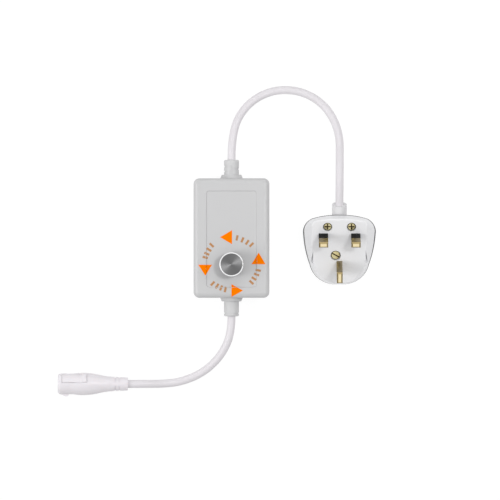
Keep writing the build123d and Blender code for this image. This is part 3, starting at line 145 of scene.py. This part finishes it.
class MaterialMaker:
    """Makes each finish's material once and hands it out again."""

    def __init__(self) -> None:
        """Start with no material made."""
        self._made: dict[str, bpy.types.Material] = {}

    def get(self, finish: Finish) -> bpy.types.Material:
        """Give the material of a finish.

        Args:
            finish: the surface wanted.

        Returns:
            The material, made at the first call.
        """
        if finish.name not in self._made:
            self._made[finish.name] = self._make(finish)
            logger.info("made material %s", finish.name)
        return self._made[finish.name]

    def _make(self, finish: Finish) -> bpy.types.Material:
        """Build the node tree of one finish.

        Args:
            finish: the surface wanted.

        Returns:
            The new material.
        """
        material = bpy.data.materials.new(finish.name)
        material.use_nodes = True
        tree = material.node_tree
        shader = tree.nodes["Principled BSDF"]
        shader.inputs["Roughness"].default_value = finish.roughness
        shader.inputs["Metallic"].default_value = finish.metallic
        shader.inputs["Specular IOR Level"].default_value = finish.specular
        shader.inputs["Coat Weight"].default_value = finish.coat
        shader.inputs["Coat Roughness"].default_value = COAT_ROUGHNESS
        shader.inputs["Transmission Weight"].default_value = finish.clear
        if finish.scatter > 0:
            shader.inputs["Subsurface Weight"].default_value = SCATTER_WEIGHT
            shader.inputs["Subsurface Radius"].default_value = SCATTER_TINT
            shader.inputs["Subsurface Scale"].default_value = finish.scatter
        self._colour(tree, shader, finish)
        if finish.accent is not None:
            self._accent(tree, shader, finish, finish.accent)
        if finish.grain is not Grain.NONE:
            self._relief(tree, shader, finish)
        if finish.anisotropy > 0:
            tangent = tree.nodes.new("ShaderNodeTangent")
            tangent.direction_type = "RADIAL"
            tangent.axis = "Z"
            tree.links.new(tangent.outputs["Tangent"], shader.inputs["Tangent"])
            shader.inputs["Anisotropic"].default_value = finish.anisotropy
            shader.inputs["Anisotropic Rotation"].default_value = ACROSS_THE_GRAIN
        return material

    def _colour(self, tree: bpy.types.NodeTree, shader: bpy.types.Node, finish: Finish) -> None:
        """Set the base colour, with a slow drift where the finish has one.

        Args:
            tree: the material's node tree.
            shader: its surface shader.
            finish: the surface wanted.
        """
        if finish.mottle <= 0:
            shader.inputs["Base Color"].default_value = (*finish.colour, 1.0)
            return
        noise = self._noise(tree, MOTTLE_SCALE, MOTTLE_DETAIL)
        mix = tree.nodes.new("ShaderNodeMix")
        mix.data_type = "RGBA"
        low = tuple(value * (1 - finish.mottle) for value in finish.colour)
        high = tuple(min(1.0, value * (1 + finish.mottle)) for value in finish.colour)
        mix.inputs["A"].default_value = (*low, 1.0)
        mix.inputs["B"].default_value = (*high, 1.0)
        tree.links.new(noise.outputs["Fac"], mix.inputs["Factor"])
        tree.links.new(mix.outputs["Result"], shader.inputs["Base Color"])

    def _accent(
        self, tree: bpy.types.NodeTree, shader: bpy.types.Node, finish: Finish, accent: Accent
    ) -> None:
        """Lay a second colour and roughness over one region.

        Args:
            tree: the material's node tree.
            shader: its surface shader.
            finish: the surface outside the region.
            accent: the region and its look.
        """
        inside = self._region(tree, accent.region)
        colour = tree.nodes.new("ShaderNodeMix")
        colour.data_type = "RGBA"
        colour.inputs["A"].default_value = (*finish.colour, 1.0)
        colour.inputs["B"].default_value = (*accent.colour, 1.0)
        tree.links.new(inside, colour.inputs["Factor"])
        tree.links.new(colour.outputs["Result"], shader.inputs["Base Color"])
        rough = tree.nodes.new("ShaderNodeMix")
        rough.inputs["A"].default_value = finish.roughness
        rough.inputs["B"].default_value = accent.roughness
        tree.links.new(inside, rough.inputs["Factor"])
        tree.links.new(rough.outputs["Result"], shader.inputs["Roughness"])

    def _region(self, tree: bpy.types.NodeTree, region: Region) -> bpy.types.NodeSocket:
        """Pick out a region.

        Args:
            tree: the material's node tree.
            region: the region wanted.

        Returns:
            A socket that is 1 inside it and 0 outside.
        """
        if region is Region.KNOB_RIM_HIGHLIGHT:
            return self._knob_rim_highlight(tree)
        if region is Region.PIN_TIP_HIGHLIGHT:
            return self._pin_tip_highlight(tree)
        return self._plug_height(tree, SCREW_SLOT_SHADE_LIMIT if region is Region.SCREW_FACE else SEAM_SHADE_HEIGHT)

    def _plug_height(self, tree: bpy.types.NodeTree, limit: float) -> bpy.types.NodeSocket:
        """Pick out what lies further along the pins' direction than a limit.

        Args:
            tree: the material's node tree.
            limit: the height along the pins' direction, in metres.

        Returns:
            A socket that is 1 above it.
        """
        height = tree.nodes.new("ShaderNodeVectorMath")
        height.operation = "DOT_PRODUCT"
        height.inputs[1].default_value = PIN_AXIS
        tree.links.new(self._place(tree), height.inputs[0])
        return self._above(tree, height.outputs["Value"], limit)

    def _knob_rim_highlight(self, tree: bpy.types.NodeTree) -> bpy.types.NodeSocket:
        """Pick out the chamfer round the knob's face by its distance from the axis and its height, for its
        painted highlight.

        Args:
            tree: the material's node tree.

        Returns:
            A socket that is 1 on the chamfer.
        """
        flat = tree.nodes.new("ShaderNodeVectorMath")
        flat.operation = "MULTIPLY_ADD"
        flat.inputs[1].default_value = (1.0, 1.0, 0.0)
        flat.inputs[2].default_value = KNOB_CENTRE_OFFSET
        tree.links.new(self._place(tree), flat.inputs[0])
        radius = tree.nodes.new("ShaderNodeVectorMath")
        radius.operation = "LENGTH"
        tree.links.new(flat.outputs["Vector"], radius.inputs[0])
        outside = self._above(tree, radius.outputs["Value"], KNOB_FACE_RADIUS)
        split = tree.nodes.new("ShaderNodeSeparateXYZ")
        tree.links.new(self._place(tree), split.inputs["Vector"])
        high = self._above(tree, split.outputs["Z"], KNOB_RIM_FOOT)
        both = tree.nodes.new("ShaderNodeMath")
        both.operation = "MULTIPLY"
        tree.links.new(outside, both.inputs[0])
        tree.links.new(high, both.inputs[1])
        return both.outputs["Value"]

    def _pin_tip_highlight(self, tree: bpy.types.NodeTree) -> bpy.types.NodeSocket:
        """Pick out the faces that point the way the plug's pins do, for the painted highlight on the pins'
        tips.

        Args:
            tree: the material's node tree.

        Returns:
            A socket that is 1 on those faces.
        """
        facing = tree.nodes.new("ShaderNodeVectorMath")
        facing.operation = "DOT_PRODUCT"
        facing.inputs[1].default_value = PIN_AXIS
        normal = tree.nodes.new("ShaderNodeTexCoord").outputs["Normal"]
        tree.links.new(normal, facing.inputs[0])
        return self._above(tree, facing.outputs["Value"], PIN_TIP_HIGHLIGHT_FACING)

    def _above(
        self, tree: bpy.types.NodeTree, value: bpy.types.NodeSocket, limit: float
    ) -> bpy.types.NodeSocket:
        """Compare a value with a limit.

        Args:
            tree: the material's node tree.
            value: the socket compared.
            limit: the value it has to pass.

        Returns:
            A socket that is 1 above the limit and 0 below it.
        """
        compare = tree.nodes.new("ShaderNodeMath")
        compare.operation = "GREATER_THAN"
        compare.inputs[1].default_value = limit
        tree.links.new(value, compare.inputs[0])
        return compare.outputs["Value"]

    def _relief(self, tree: bpy.types.NodeTree, shader: bpy.types.Node, finish: Finish) -> None:
        """Give the surface its fine relief.

        Args:
            tree: the material's node tree.
            shader: its surface shader.
            finish: the surface wanted.
        """
        bump = tree.nodes.new("ShaderNodeBump")
        bump.inputs["Distance"].default_value = finish.relief
        if finish.grain is Grain.TURNED:
            wave = tree.nodes.new("ShaderNodeTexWave")
            wave.wave_type = "RINGS"
            wave.rings_direction = "Z"
            wave.inputs["Scale"].default_value = finish.scale
            wave.inputs["Distortion"].default_value = 0.0
            centre = tree.nodes.new("ShaderNodeMapping")
            centre.inputs["Location"].default_value = KNOB_CENTRE_OFFSET
            tree.links.new(self._place(tree), centre.inputs["Vector"])
            tree.links.new(centre.outputs["Vector"], wave.inputs["Vector"])
            height = wave.outputs["Fac"]
        elif finish.grain is Grain.BRUSHED:
            stretch = tree.nodes.new("ShaderNodeMapping")
            stretch.inputs["Scale"].default_value = BRUSH_STRETCH
            tree.links.new(self._place(tree), stretch.inputs["Vector"])
            noise = self._noise(tree, finish.scale, BRUSH_DETAIL)
            tree.links.new(stretch.outputs["Vector"], noise.inputs["Vector"])
            height = noise.outputs["Fac"]
        else:
            detail = SHEATH_DETAIL if finish.grain is Grain.SHEATH else MOULD_DETAIL
            height = self._noise(tree, finish.scale, detail).outputs["Fac"]
        tree.links.new(height, bump.inputs["Height"])
        tree.links.new(bump.outputs["Normal"], shader.inputs["Normal"])

    def _place(self, tree: bpy.types.NodeTree) -> bpy.types.NodeSocket:
        """Give the socket with the piece's own coordinates.

        Args:
            tree: the material's node tree.

        Returns:
            The object coordinates' output.
        """
        return tree.nodes.new("ShaderNodeTexCoord").outputs["Object"]

    def _noise(self, tree: bpy.types.NodeTree, scale: float, detail: float) -> bpy.types.Node:
        """Add a noise texture in the piece's own coordinates.

        Args:
            tree: the material's node tree.
            scale: grains to the metre.
            detail: octaves of finer noise.

        Returns:
            The texture node.
        """
        noise = tree.nodes.new("ShaderNodeTexNoise")
        noise.inputs["Scale"].default_value = scale
        noise.inputs["Detail"].default_value = detail
        tree.links.new(self._place(tree), noise.inputs["Vector"])
        return noise


KNOB_CENTRE = (0.0, -18.0 * MM)
KNOB_CENTRE_OFFSET = (-KNOB_CENTRE[0], -KNOB_CENTRE[1], 0.0)
KNOB_FACE_RADIUS = 7.47 * MM
KNOB_RIM_FOOT = 36.45 * MM
PLUG_TILT = math.radians(21.0)
PIN_AXIS = (0.0, -math.sin(PLUG_TILT), math.cos(PLUG_TILT))
PIN_FACE_MIDDLE = (1.3 * MM, 22.0 * MM)
PIN_FACE_HEIGHT = PIN_FACE_MIDDLE[0] * PIN_AXIS[1] + PIN_FACE_MIDDLE[1] * PIN_AXIS[2]
# Painted shade: the screws are painted dark below this height, as shade in their slots and recesses.
SCREW_SLOT_SHADE_LIMIT = PIN_FACE_HEIGHT - 1.0 * MM
# Painted shade: the plug cover above this height, just under the seam, is painted dark as the shadow in the
# seam's gap.
SEAM_SHADE_HEIGHT = PIN_FACE_HEIGHT - 8.7 * MM

CASE = Finish("case_plastic", (0.545, 0.545, 0.55), 0.42, grain=Grain.MOULDED, relief=0.00001, mottle=0.012)
GLAND = Finish("gland_plastic", (0.59, 0.59, 0.595), 0.5, grain=Grain.MOULDED, relief=0.00001)
SLEEVE = Finish("sleeve_plastic", (0.71, 0.705, 0.715), 0.5, grain=Grain.MOULDED, relief=0.00001)
PLUG = Finish("plug_plastic", (0.81, 0.81, 0.825), 0.3, grain=Grain.MOULDED, relief=0.000005, coat=0.15)
# Painted shade: the cover's accent paints a dark band next to the seam for the shadow in the gap between
# cover and base.
PLUG_BACK_WITH_SEAM_SHADE = Finish(
    "plug_back_plastic_seam_shade",
    (0.76, 0.76, 0.775),
    0.3,
    grain=Grain.MOULDED,
    relief=0.000005,
    accent=Accent(Region.SEAM_SHADE, (0.12, 0.12, 0.125), 0.6),
)
CONNECTOR = Finish("connector_plastic", (0.77, 0.74, 0.77), 0.35, scatter=0.001)
CORD = Finish("cord_sheath", (0.72, 0.695, 0.722), 0.45, grain=Grain.SHEATH, relief=0.000002)
CORE = Finish("core_insulation", (0.28, 0.11, 0.05), 0.4)
# Partly real, partly painted highlight: the knob's chamfer is cut bright metal, painted near white all
# round as its highlight.
KNOB = Finish(
    "knob_aluminium_rim_highlight",
    (0.145, 0.145, 0.147),
    0.38,
    1.0,
    Grain.TURNED,
    0.0000005,
    900.0,
    anisotropy=0.8,
    accent=Accent(Region.KNOB_RIM_HIGHLIGHT, (0.93, 0.93, 0.94), 0.2),
)
ALLOY = Finish("heatsink_alloy", (0.60, 0.60, 0.61), 0.35, 1.0, Grain.BRUSHED, 0.000002)
STEEL = Finish("plated_steel", (0.55, 0.55, 0.56), 0.3, 1.0, mottle=0.04)
BRASS = Finish("brass", (0.60, 0.46, 0.22), 0.25, 1.0, Grain.BRUSHED, 0.000001, mottle=0.05)
# Painted shade and highlight: the pins' sides are brass darkened to their shade, and the faces turned along
# the pins, at their tips, are painted light as their highlight.
PIN_BRASS_SHADE_AND_HIGHLIGHT = Finish(
    "pin_brass_shade_and_highlight",
    (0.25, 0.195, 0.095),
    0.3,
    1.0,
    Grain.BRUSHED,
    0.000001,
    accent=Accent(Region.PIN_TIP_HIGHLIGHT, (0.86, 0.73, 0.45), 0.25),
)
# Painted shade: the screw brass is dark everywhere but the heads' top faces, which carry the brass colour;
# the dark stands in for shade in the slots and recesses.
SLOT_SHADED_SCREW_BRASS = Finish(
    "screw_brass_slot_shade",
    (0.09, 0.07, 0.035),
    0.35,
    1.0,
    accent=Accent(Region.SCREW_FACE, (0.72, 0.65, 0.38), 0.3),
)
COPPER = Finish("enamelled_copper", (0.55, 0.24, 0.12), 0.3, 1.0)
BLACK = Finish("black_plastic", (0.008, 0.008, 0.008), 0.6, specular=0.08)
BOARD = Finish("board_laminate", (0.03, 0.19, 0.08), 0.35, coat=0.3, mottle=0.1)
FILM = Finish("film_resin", (0.65, 0.42, 0.06), 0.3, coat=0.2)
GLASS = Finish("fuse_glass", (0.9, 0.92, 0.92), 0.05, clear=0.9)
CERAMIC = Finish("fuse_ceramic", (0.82, 0.78, 0.70), 0.55)
INK = Finish("orange_ink", (1.0, 0.21, 0.0), 0.8, specular=0.0)
DASH_INK = Finish("orange_dash_ink", (0.50, 0.26, 0.12), 0.8, specular=0.0)

NODE_FINISHES: dict[str, Finish] = {
    "case_base": CASE,
    "case_cover": CASE,
    "case_screws": STEEL,
    "input_gland": GLAND,
    "output_gland": GLAND,
    "pot_body": STEEL,
    "pot_bush": BRASS,
    "pot_washer": STEEL,
    "pot_nut": STEEL,
    "pot_shaft": STEEL,
    "pot_wiper": BLACK,
    "pot_terminals": BRASS,
    "knob_cap": KNOB,
    "knob_core": BLACK,
    "circuit_board": BOARD,
    "board_fuse": GLASS,
    "film_capacitor": FILM,
    "choke": COPPER,
    "bridge_rectifier": BLACK,
    "bulk_capacitor": BLACK,
    "heatsink": ALLOY,
    "power_transistor": BLACK,
    "control_chip": BLACK,
    "resistors": BLACK,
    "input_wires": CORE,
    "output_wires": CORE,
    "plug_base": PLUG,
    "plug_cover": PLUG_BACK_WITH_SEAM_SHADE,
    "plug_sleeve": SLEEVE,
    "cord_grip": GLAND,
    "cover_screw": SLOT_SHADED_SCREW_BRASS,
    "grip_screws": SLOT_SHADED_SCREW_BRASS,
    "line_pin": PIN_BRASS_SHADE_AND_HIGHLIGHT,
    "neutral_pin": PIN_BRASS_SHADE_AND_HIGHLIGHT,
    "earth_pin": PIN_BRASS_SHADE_AND_HIGHLIGHT,
    "pin_sleeves": BLACK,
    "plug_fuse": CERAMIC,
    "fuse_clips": BRASS,
    "terminal_screws": BRASS,
    "plug_wires": CORE,
    "connector_body": CONNECTOR,
    "connector_latch": CONNECTOR,
    "connector_insert": CONNECTOR,
    "contact_tubes": BRASS,
    "connector_tail": CONNECTOR,
    "connector_wires": CORE,
}


@dataclass(frozen=True)
class CordSpec:
    """A free cord's line and what hangs on it.

    Attributes:
        name: the new piece's name.
        node: the CAD node it stands for.
        points: control points of its line.
        length: its real length.
        companions: the CAD nodes that are on it; not used.
    """

    name: str
    node: str
    points: tuple[Point, ...]
    length: float
    far_end: str
    companions: tuple[str, ...]


CASE_HALF = (26.0 * MM, 41.0 * MM)
CASE_TOP = 25.0 * MM
CASE_ROUND = 3.5 * MM
CASE_PANEL = (16.9 * MM, 32.7 * MM, -0.7 * MM)
CASE_PANEL_DEPTH = 0.5 * MM
CORD_DIAMETER = 5.5 * MM
CORD_ORDER = 3
CORD_STEPS = 24
CORD_SIDES = 12
PLUG_NODES = (
    "input_gland",
    "plug_base",
    "plug_cover",
    "plug_sleeve",
    "cord_grip",
    "cover_screw",
    "grip_screws",
    "line_pin",
    "neutral_pin",
    "earth_pin",
    "pin_sleeves",
    "plug_fuse",
    "fuse_clips",
    "terminal_screws",
    "plug_wires",
)
CONNECTOR_NODES = (
    "output_gland",
    "connector_body",
    "connector_latch",
    "connector_insert",
    "contact_tubes",
    "connector_tail",
    "connector_wires",
)
CORDS = (
    CordSpec(
        name="input_cord_sheath",
        node="input_cord",
        points=(
            (0.0, 0.0537, 0.0125),
            (0.0, 0.0732, 0.0125),
            (0.0096, 0.0916, 0.0068),
            (0.027, 0.102, 0.00275),
            (0.0474, 0.1018, 0.00275),
            (0.0646, 0.0918, 0.0034),
            (0.0744, 0.0735, 0.0086),
            (0.0743, 0.0515, 0.0196),
            (0.0741, 0.03663, 0.02121),
            (0.0741, 0.02309, 0.01601),
        ),
        length=0.174,
        far_end="plug",
        companions=PLUG_NODES,
    ),
    CordSpec(
        name="output_cord_sheath",
        node="output_cord",
        points=(
            (0.0, -0.0537, 0.0125),
            (0.0, -0.066, 0.0125),
            (-0.0075, -0.0815, 0.0095),
            (-0.0198, -0.0928, 0.0055),
            (-0.0345, -0.0989, 0.00275),
            (-0.047, -0.1003, 0.00275),
            (-0.0595, -0.1003, 0.00772),
            (-0.0713, -0.1003, 0.00772),
        ),
        length=0.100,
        far_end="connector",
        companions=CONNECTOR_NODES,
    ),
)


@dataclass
class FreeCord:
    """A round sheathed cord along one smooth line.

    Attributes:
        spec: its line, length and ends.
        materials: the shared material maker.
    """

    spec: CordSpec
    materials: MaterialMaker

    def build(self) -> None:
        data = bpy.data.curves.new(self.spec.name, "CURVE")
        data.dimensions = "3D"
        data.resolution_u = CORD_STEPS
        data.bevel_depth = CORD_DIAMETER / 2
        data.bevel_resolution = CORD_SIDES
        data.use_fill_caps = True
        spline = data.splines.new("NURBS")
        spline.points.add(len(self.spec.points) - 1)
        for control, point in zip(spline.points, self.spec.points):
            control.co = (*point, 1.0)
        spline.order_u = CORD_ORDER
        spline.use_endpoint_u = True
        spline.use_smooth = True
        piece = bpy.data.objects.new(self.spec.name, data)
        bpy.context.collection.objects.link(piece)
        data.materials.append(self.materials.get(CORD))
        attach(piece, "cord_set")
        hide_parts(self.spec.node)
        logger.info("laid %s, %.0f mm", self.spec.name, self.spec.length / MM)


@dataclass
class FrameLooks:
    """Gives every CAD node that shows its own procedural finish.

    Attributes:
        materials: the shared material maker.
    """

    materials: MaterialMaker

    def dress(self) -> None:
        """Assign the finishes."""
        for name, finish in NODE_FINISHES.items():
            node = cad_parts[name]
            node.data.materials.clear()
            node.data.materials.append(self.materials.get(finish))
            logger.info("dressed %s in %s", name, finish.name)


@dataclass(frozen=True)
class ArrowMark:
    """One of the orange marks round the knob, as the photograph shows it.

    Attributes:
        tip: the head's point.
        barbs: the head's two rear corners.
        dashes: the middles of the dashes behind it.
    """

    tip: tuple[float, float]
    barbs: tuple[tuple[float, float], tuple[float, float]]
    dashes: tuple[tuple[float, float], ...]


ARROWS = (
    ArrowMark(
        (-7.9, 0.6), ((0.4, 5.4), (0.4, -4.2)), ((3.8, 0.1), (7.5, -1.3), (10.8, -2.95), (13.7, -4.6))
    ),
    ArrowMark(
        (-17.9, -25.8),
        ((-22.8, -18.3), (-13.3, -18.3)),
        ((-18.0, -13.3), (-16.9, -10.8), (-15.4, -8.0), (-13.6, -4.9)),
    ),
    ArrowMark(
        (7.9, -36.0),
        ((0.0, -31.6), (0.0, -40.4)),
        ((-4.2, -35.3), (-7.1, -34.2), (-9.9, -32.9), (-12.9, -31.2)),
    ),
    ArrowMark(
        (18.7, -10.0),
        ((13.7, -17.9), (23.3, -17.9)),
        ((18.3, -22.1), (17.2, -25.0), (15.4, -27.8), (13.7, -30.4)),
    ),
)


@dataclass
class ArrowRing:
    """The four printed arrows that show which way the knob turns.

    Attributes:
        materials: the shared material maker.
        lift: height of the ink over the case.
        step: spacing of the points that drape it.
        dash_size: length along the path and width across it of one dash.
    """

    materials: MaterialMaker
    lift: float = 0.05 * MM
    step: float = 0.5 * MM
    dash_size: tuple[float, float] = (1.5 * MM, 3.7 * MM)

    def build(self) -> None:
        """Lay the heads and the dashes."""
        for number, mark in enumerate(ARROWS, start=1):
            head = [self._metres(point) for point in (mark.tip, *mark.barbs)]
            self._lay(f"arrow_head_{number}", [head], INK)
            self._lay(f"arrow_dashes_{number}", [self._dash(place) for place in mark.dashes], DASH_INK)

    def _metres(self, point: tuple[float, float]) -> Vector:
        """Turn a flat point in millimetres into one in metres."""
        return Vector((point[0] * MM, point[1] * MM, 0.0))

    def _dash(self, place: tuple[float, float]) -> list[Vector]:
        """Give the corners of a dash that points at the knob.

        Args:
            place: the dash's middle, in millimetres.

        Returns:
            Its four corners in order.
        """
        middle = self._metres(place)
        out = (middle - Vector((*KNOB_CENTRE, 0.0))).normalized() * self.dash_size[1] / 2
        side = Vector((-out.y, out.x, 0.0)).normalized() * self.dash_size[0] / 2
        return [middle + out + side, middle + out - side, middle - out - side, middle - out + side]

    def _lay(self, name: str, outlines: list[list[Vector]], finish: Finish) -> None:
        """Drape flat outlines over the case as one piece.

        Args:
            name: the piece's name.
            outlines: convex outlines, three or four corners each.
            finish: the ink.
        """
        points: list[Vector] = []
        faces: list[tuple[int, ...]] = []
        for outline in outlines:
            self._fill(outline, points, faces)
        mesh = bpy.data.meshes.new(name)
        mesh.from_pydata([tuple(point) for point in points], [], faces)
        joined = bmesh.new()
        joined.from_mesh(mesh)
        bmesh.ops.remove_doubles(joined, verts=joined.verts, dist=self.lift / 10)
        joined.to_mesh(mesh)
        joined.free()
        mesh.materials.append(self.materials.get(finish))
        piece = bpy.data.objects.new(name, mesh)
        bpy.context.collection.objects.link(piece)
        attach(piece, "cord_set")
        logger.info("laid %s with %d faces", name, len(faces))

    def _fill(self, outline: list[Vector], points: list[Vector], faces: list[tuple[int, ...]]) -> None:
        """Cover one outline with a fine grid that follows the case's face.

        Args:
            outline: its corners; a triangle closes at its first corner.
            points: the mesh points so far, added to.
            faces: the mesh faces so far, added to.
        """
        corners = outline if len(outline) == 4 else [outline[0], outline[0], outline[1], outline[2]]
        rows = max(2, round((corners[1] - corners[2]).length / self.step))
        columns = max(2, round((corners[3] - corners[2]).length / self.step))
        first = len(points)
        for row in range(rows + 1):
            left = corners[0].lerp(corners[3], row / rows)
            right = corners[1].lerp(corners[2], row / rows)
            for column in range(columns + 1):
                point = left.lerp(right, column / columns)
                points.append(Vector((point.x, point.y, case_height(point.x, point.y) + self.lift)))
        width = columns + 1
        for row in range(rows):
            for column in range(columns):
                corner = first + row * width + column
                faces.append((corner, corner + 1, corner + width + 1, corner + width))


def case_height(x: float, y: float) -> float:
    """Give the height of the case's front at a point.

    Args:
        x: across the case.
        y: along the case.

    Returns:
        The height of the panel, its sloping rim, the border or the rounded edge.
    """
    outside_panel = max(abs(x) - CASE_PANEL[0], abs(y - CASE_PANEL[2]) - CASE_PANEL[1])
    step = min(max(outside_panel, 0.0), CASE_PANEL_DEPTH)
    into_round = max(abs(x) - (CASE_HALF[0] - CASE_ROUND), abs(y) - (CASE_HALF[1] - CASE_ROUND), 0.0)
    drop = CASE_ROUND - math.sqrt(max(CASE_ROUND**2 - into_round**2, 0.0))
    return CASE_TOP - CASE_PANEL_DEPTH + step - drop


def seen_rays(tree: bpy.types.NodeTree) -> bpy.types.NodeSocket:
    """Pick out the rays that show a surface in the picture, straight or by reflection.

    Args:
        tree: the node tree that needs them.

    Returns:
        A socket that is 1 for camera, glossy and transmission rays.
    """
    rays = tree.nodes.new("ShaderNodeLightPath")
    total = rays.outputs["Is Camera Ray"]
    for name in ("Is Glossy Ray", "Is Transmission Ray"):
        joined = tree.nodes.new("ShaderNodeMath")
        joined.operation = "ADD"
        joined.use_clamp = True
        tree.links.new(total, joined.inputs[0])
        tree.links.new(rays.outputs[name], joined.inputs[1])
        total = joined.outputs["Value"]
    return total


@dataclass(frozen=True)
class AreaLamp:
    """A rectangular soft light.

    Attributes:
        name: the lamp's name.
        place: where it hangs.
        aim: the point it faces.
        size: its width and height.
        power: its power in watts.
    """

    name: str
    place: Point
    aim: Point
    size: tuple[float, float]
    power: float

    def hang(self) -> None:
        """Add the lamp to the scene."""
        data = bpy.data.lights.new(self.name, "AREA")
        data.shape = "RECTANGLE"
        data.size, data.size_y = self.size
        data.energy = self.power
        lamp = bpy.data.objects.new(self.name, data)
        lamp.location = self.place
        direction = Vector(self.aim) - Vector(self.place)
        lamp.rotation_euler = direction.to_track_quat("-Z", "Y").to_euler()
        bpy.context.collection.objects.link(lamp)


LAMPS = (
    AreaLamp("key_left", (-1.1, -0.15, 0.9), (0.0, 0.0, 0.0), (0.7, 0.7), 8.0),
    AreaLamp("fill_right", (1.1, 0.25, 0.9), (0.0, 0.0, 0.0), (0.6, 0.6), 2.2),
    AreaLamp("glint", (0.46, 0.21, 1.41), (0.0, 0.0, 0.0), (0.2, 0.2), 4.8),
    AreaLamp("top_soft", (0.0, 1.3, 1.2), (0.0, 0.0, 0.0), (1.2, 0.8), 4.0),
)


@dataclass(frozen=True)
class Studio:
    """The white surround: floor, world, lamps and the camera.

    Attributes:
        floor_reach: half the floor's side.
        floor_drop: how far the floor lies under the part.
        floor_colour: its colour for the light that falls on it.
        floor_roughness: its roughness.
        floor_glow: its brightness for the rays that show it.
        floor_share: the share of that brightness, the rest being its lit colour with the shadow.
        surround_light: strength of the world as a light.
        surround_white: strength of the world where it is seen.
        lens: focal length of the camera, in millimetres.
        sensor: width of its sensor, in millimetres.
        reach: nearest and furthest distance that it sees.
        place: where it hangs, looking straight down.
    """

    floor_reach: float = 12.0
    floor_drop: float = 0.05 * MM
    floor_colour: Colour = (0.8, 0.8, 0.8)
    floor_roughness: float = 0.9
    floor_glow: float = 1.05
    floor_share: float = 0.9
    surround_light: float = 0.5
    surround_white: float = 1.0
    lens: float = 500.0
    sensor: float = 36.0
    reach: tuple[float, float] = (0.1, 30.0)
    place: Point = (0.0127, -0.0082, 4.784)

    def place_camera(self) -> None:
        """Look straight down on the part from far off, as the photograph does."""
        data = bpy.data.cameras.new("photo_camera")
        data.lens = self.lens
        data.sensor_width = self.sensor
        data.clip_start, data.clip_end = self.reach
        camera = bpy.data.objects.new("photo_camera", data)
        camera.location = self.place
        bpy.context.collection.objects.link(camera)
        bpy.context.scene.camera = camera
        bpy.context.scene.view_settings.view_transform = "Standard"

    def light(self) -> None:
        """Hang the lamps in an even white surround."""
        for lamp in LAMPS:
            lamp.hang()
        world = bpy.data.worlds.new("white_surround")
        bpy.context.scene.world = world
        world.use_nodes = True
        tree = world.node_tree
        background = tree.nodes["Background"]
        background.inputs["Color"].default_value = (1.0, 1.0, 1.0, 1.0)
        strength = tree.nodes.new("ShaderNodeMapRange")
        strength.inputs["To Min"].default_value = self.surround_light
        strength.inputs["To Max"].default_value = self.surround_white
        tree.links.new(seen_rays(tree), strength.inputs["Value"])
        tree.links.new(strength.outputs["Result"], background.inputs["Strength"])

    def lay_floor(self) -> None:
        """Lay the white floor that the part lies on."""
        mesh = bpy.data.meshes.new("studio_floor")
        reach = self.floor_reach
        corners = [(-reach, -reach, 0.0), (reach, -reach, 0.0), (reach, reach, 0.0), (-reach, reach, 0.0)]
        mesh.from_pydata(corners, [], [(0, 1, 2, 3)])
        mesh.materials.append(self._floor_material())
        floor = bpy.data.objects.new("studio_floor", mesh)
        floor.location = (0.0, 0.0, -self.floor_drop)
        bpy.context.collection.objects.link(floor)

    def _floor_material(self) -> bpy.types.Material:
        """Make the floor's white, which keeps the part's shadow.

        Returns:
            The new material.
        """
        material = bpy.data.materials.new("white_floor")
        material.use_nodes = True
        tree = material.node_tree
        shader = tree.nodes["Principled BSDF"]
        shader.inputs["Base Color"].default_value = (*self.floor_colour, 1.0)
        shader.inputs["Roughness"].default_value = self.floor_roughness
        shader.inputs["Specular IOR Level"].default_value = 0.0
        glow = tree.nodes.new("ShaderNodeEmission")
        glow.inputs["Strength"].default_value = self.floor_glow
        mix = tree.nodes.new("ShaderNodeMixShader")
        share = tree.nodes.new("ShaderNodeMapRange")
        share.inputs["To Max"].default_value = self.floor_share
        tree.links.new(seen_rays(tree), share.inputs["Value"])
        tree.links.new(share.outputs["Result"], mix.inputs[0])
        tree.links.new(shader.outputs["BSDF"], mix.inputs[1])
        tree.links.new(glow.outputs["Emission"], mix.inputs[2])
        tree.links.new(mix.outputs["Shader"], tree.nodes["Material Output"].inputs["Surface"])
        return material


def main() -> None:
    logging.basicConfig(level=logging.INFO)
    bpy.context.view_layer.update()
    materials = MaterialMaker()
    studio = Studio()
    studio.place_camera()
    for spec in CORDS:
        FreeCord(spec, materials).build()
    FrameLooks(materials).dress()
    ArrowRing(materials).build()
    studio.light()
    studio.lay_floor()


if __name__ == "__main__":
    main()
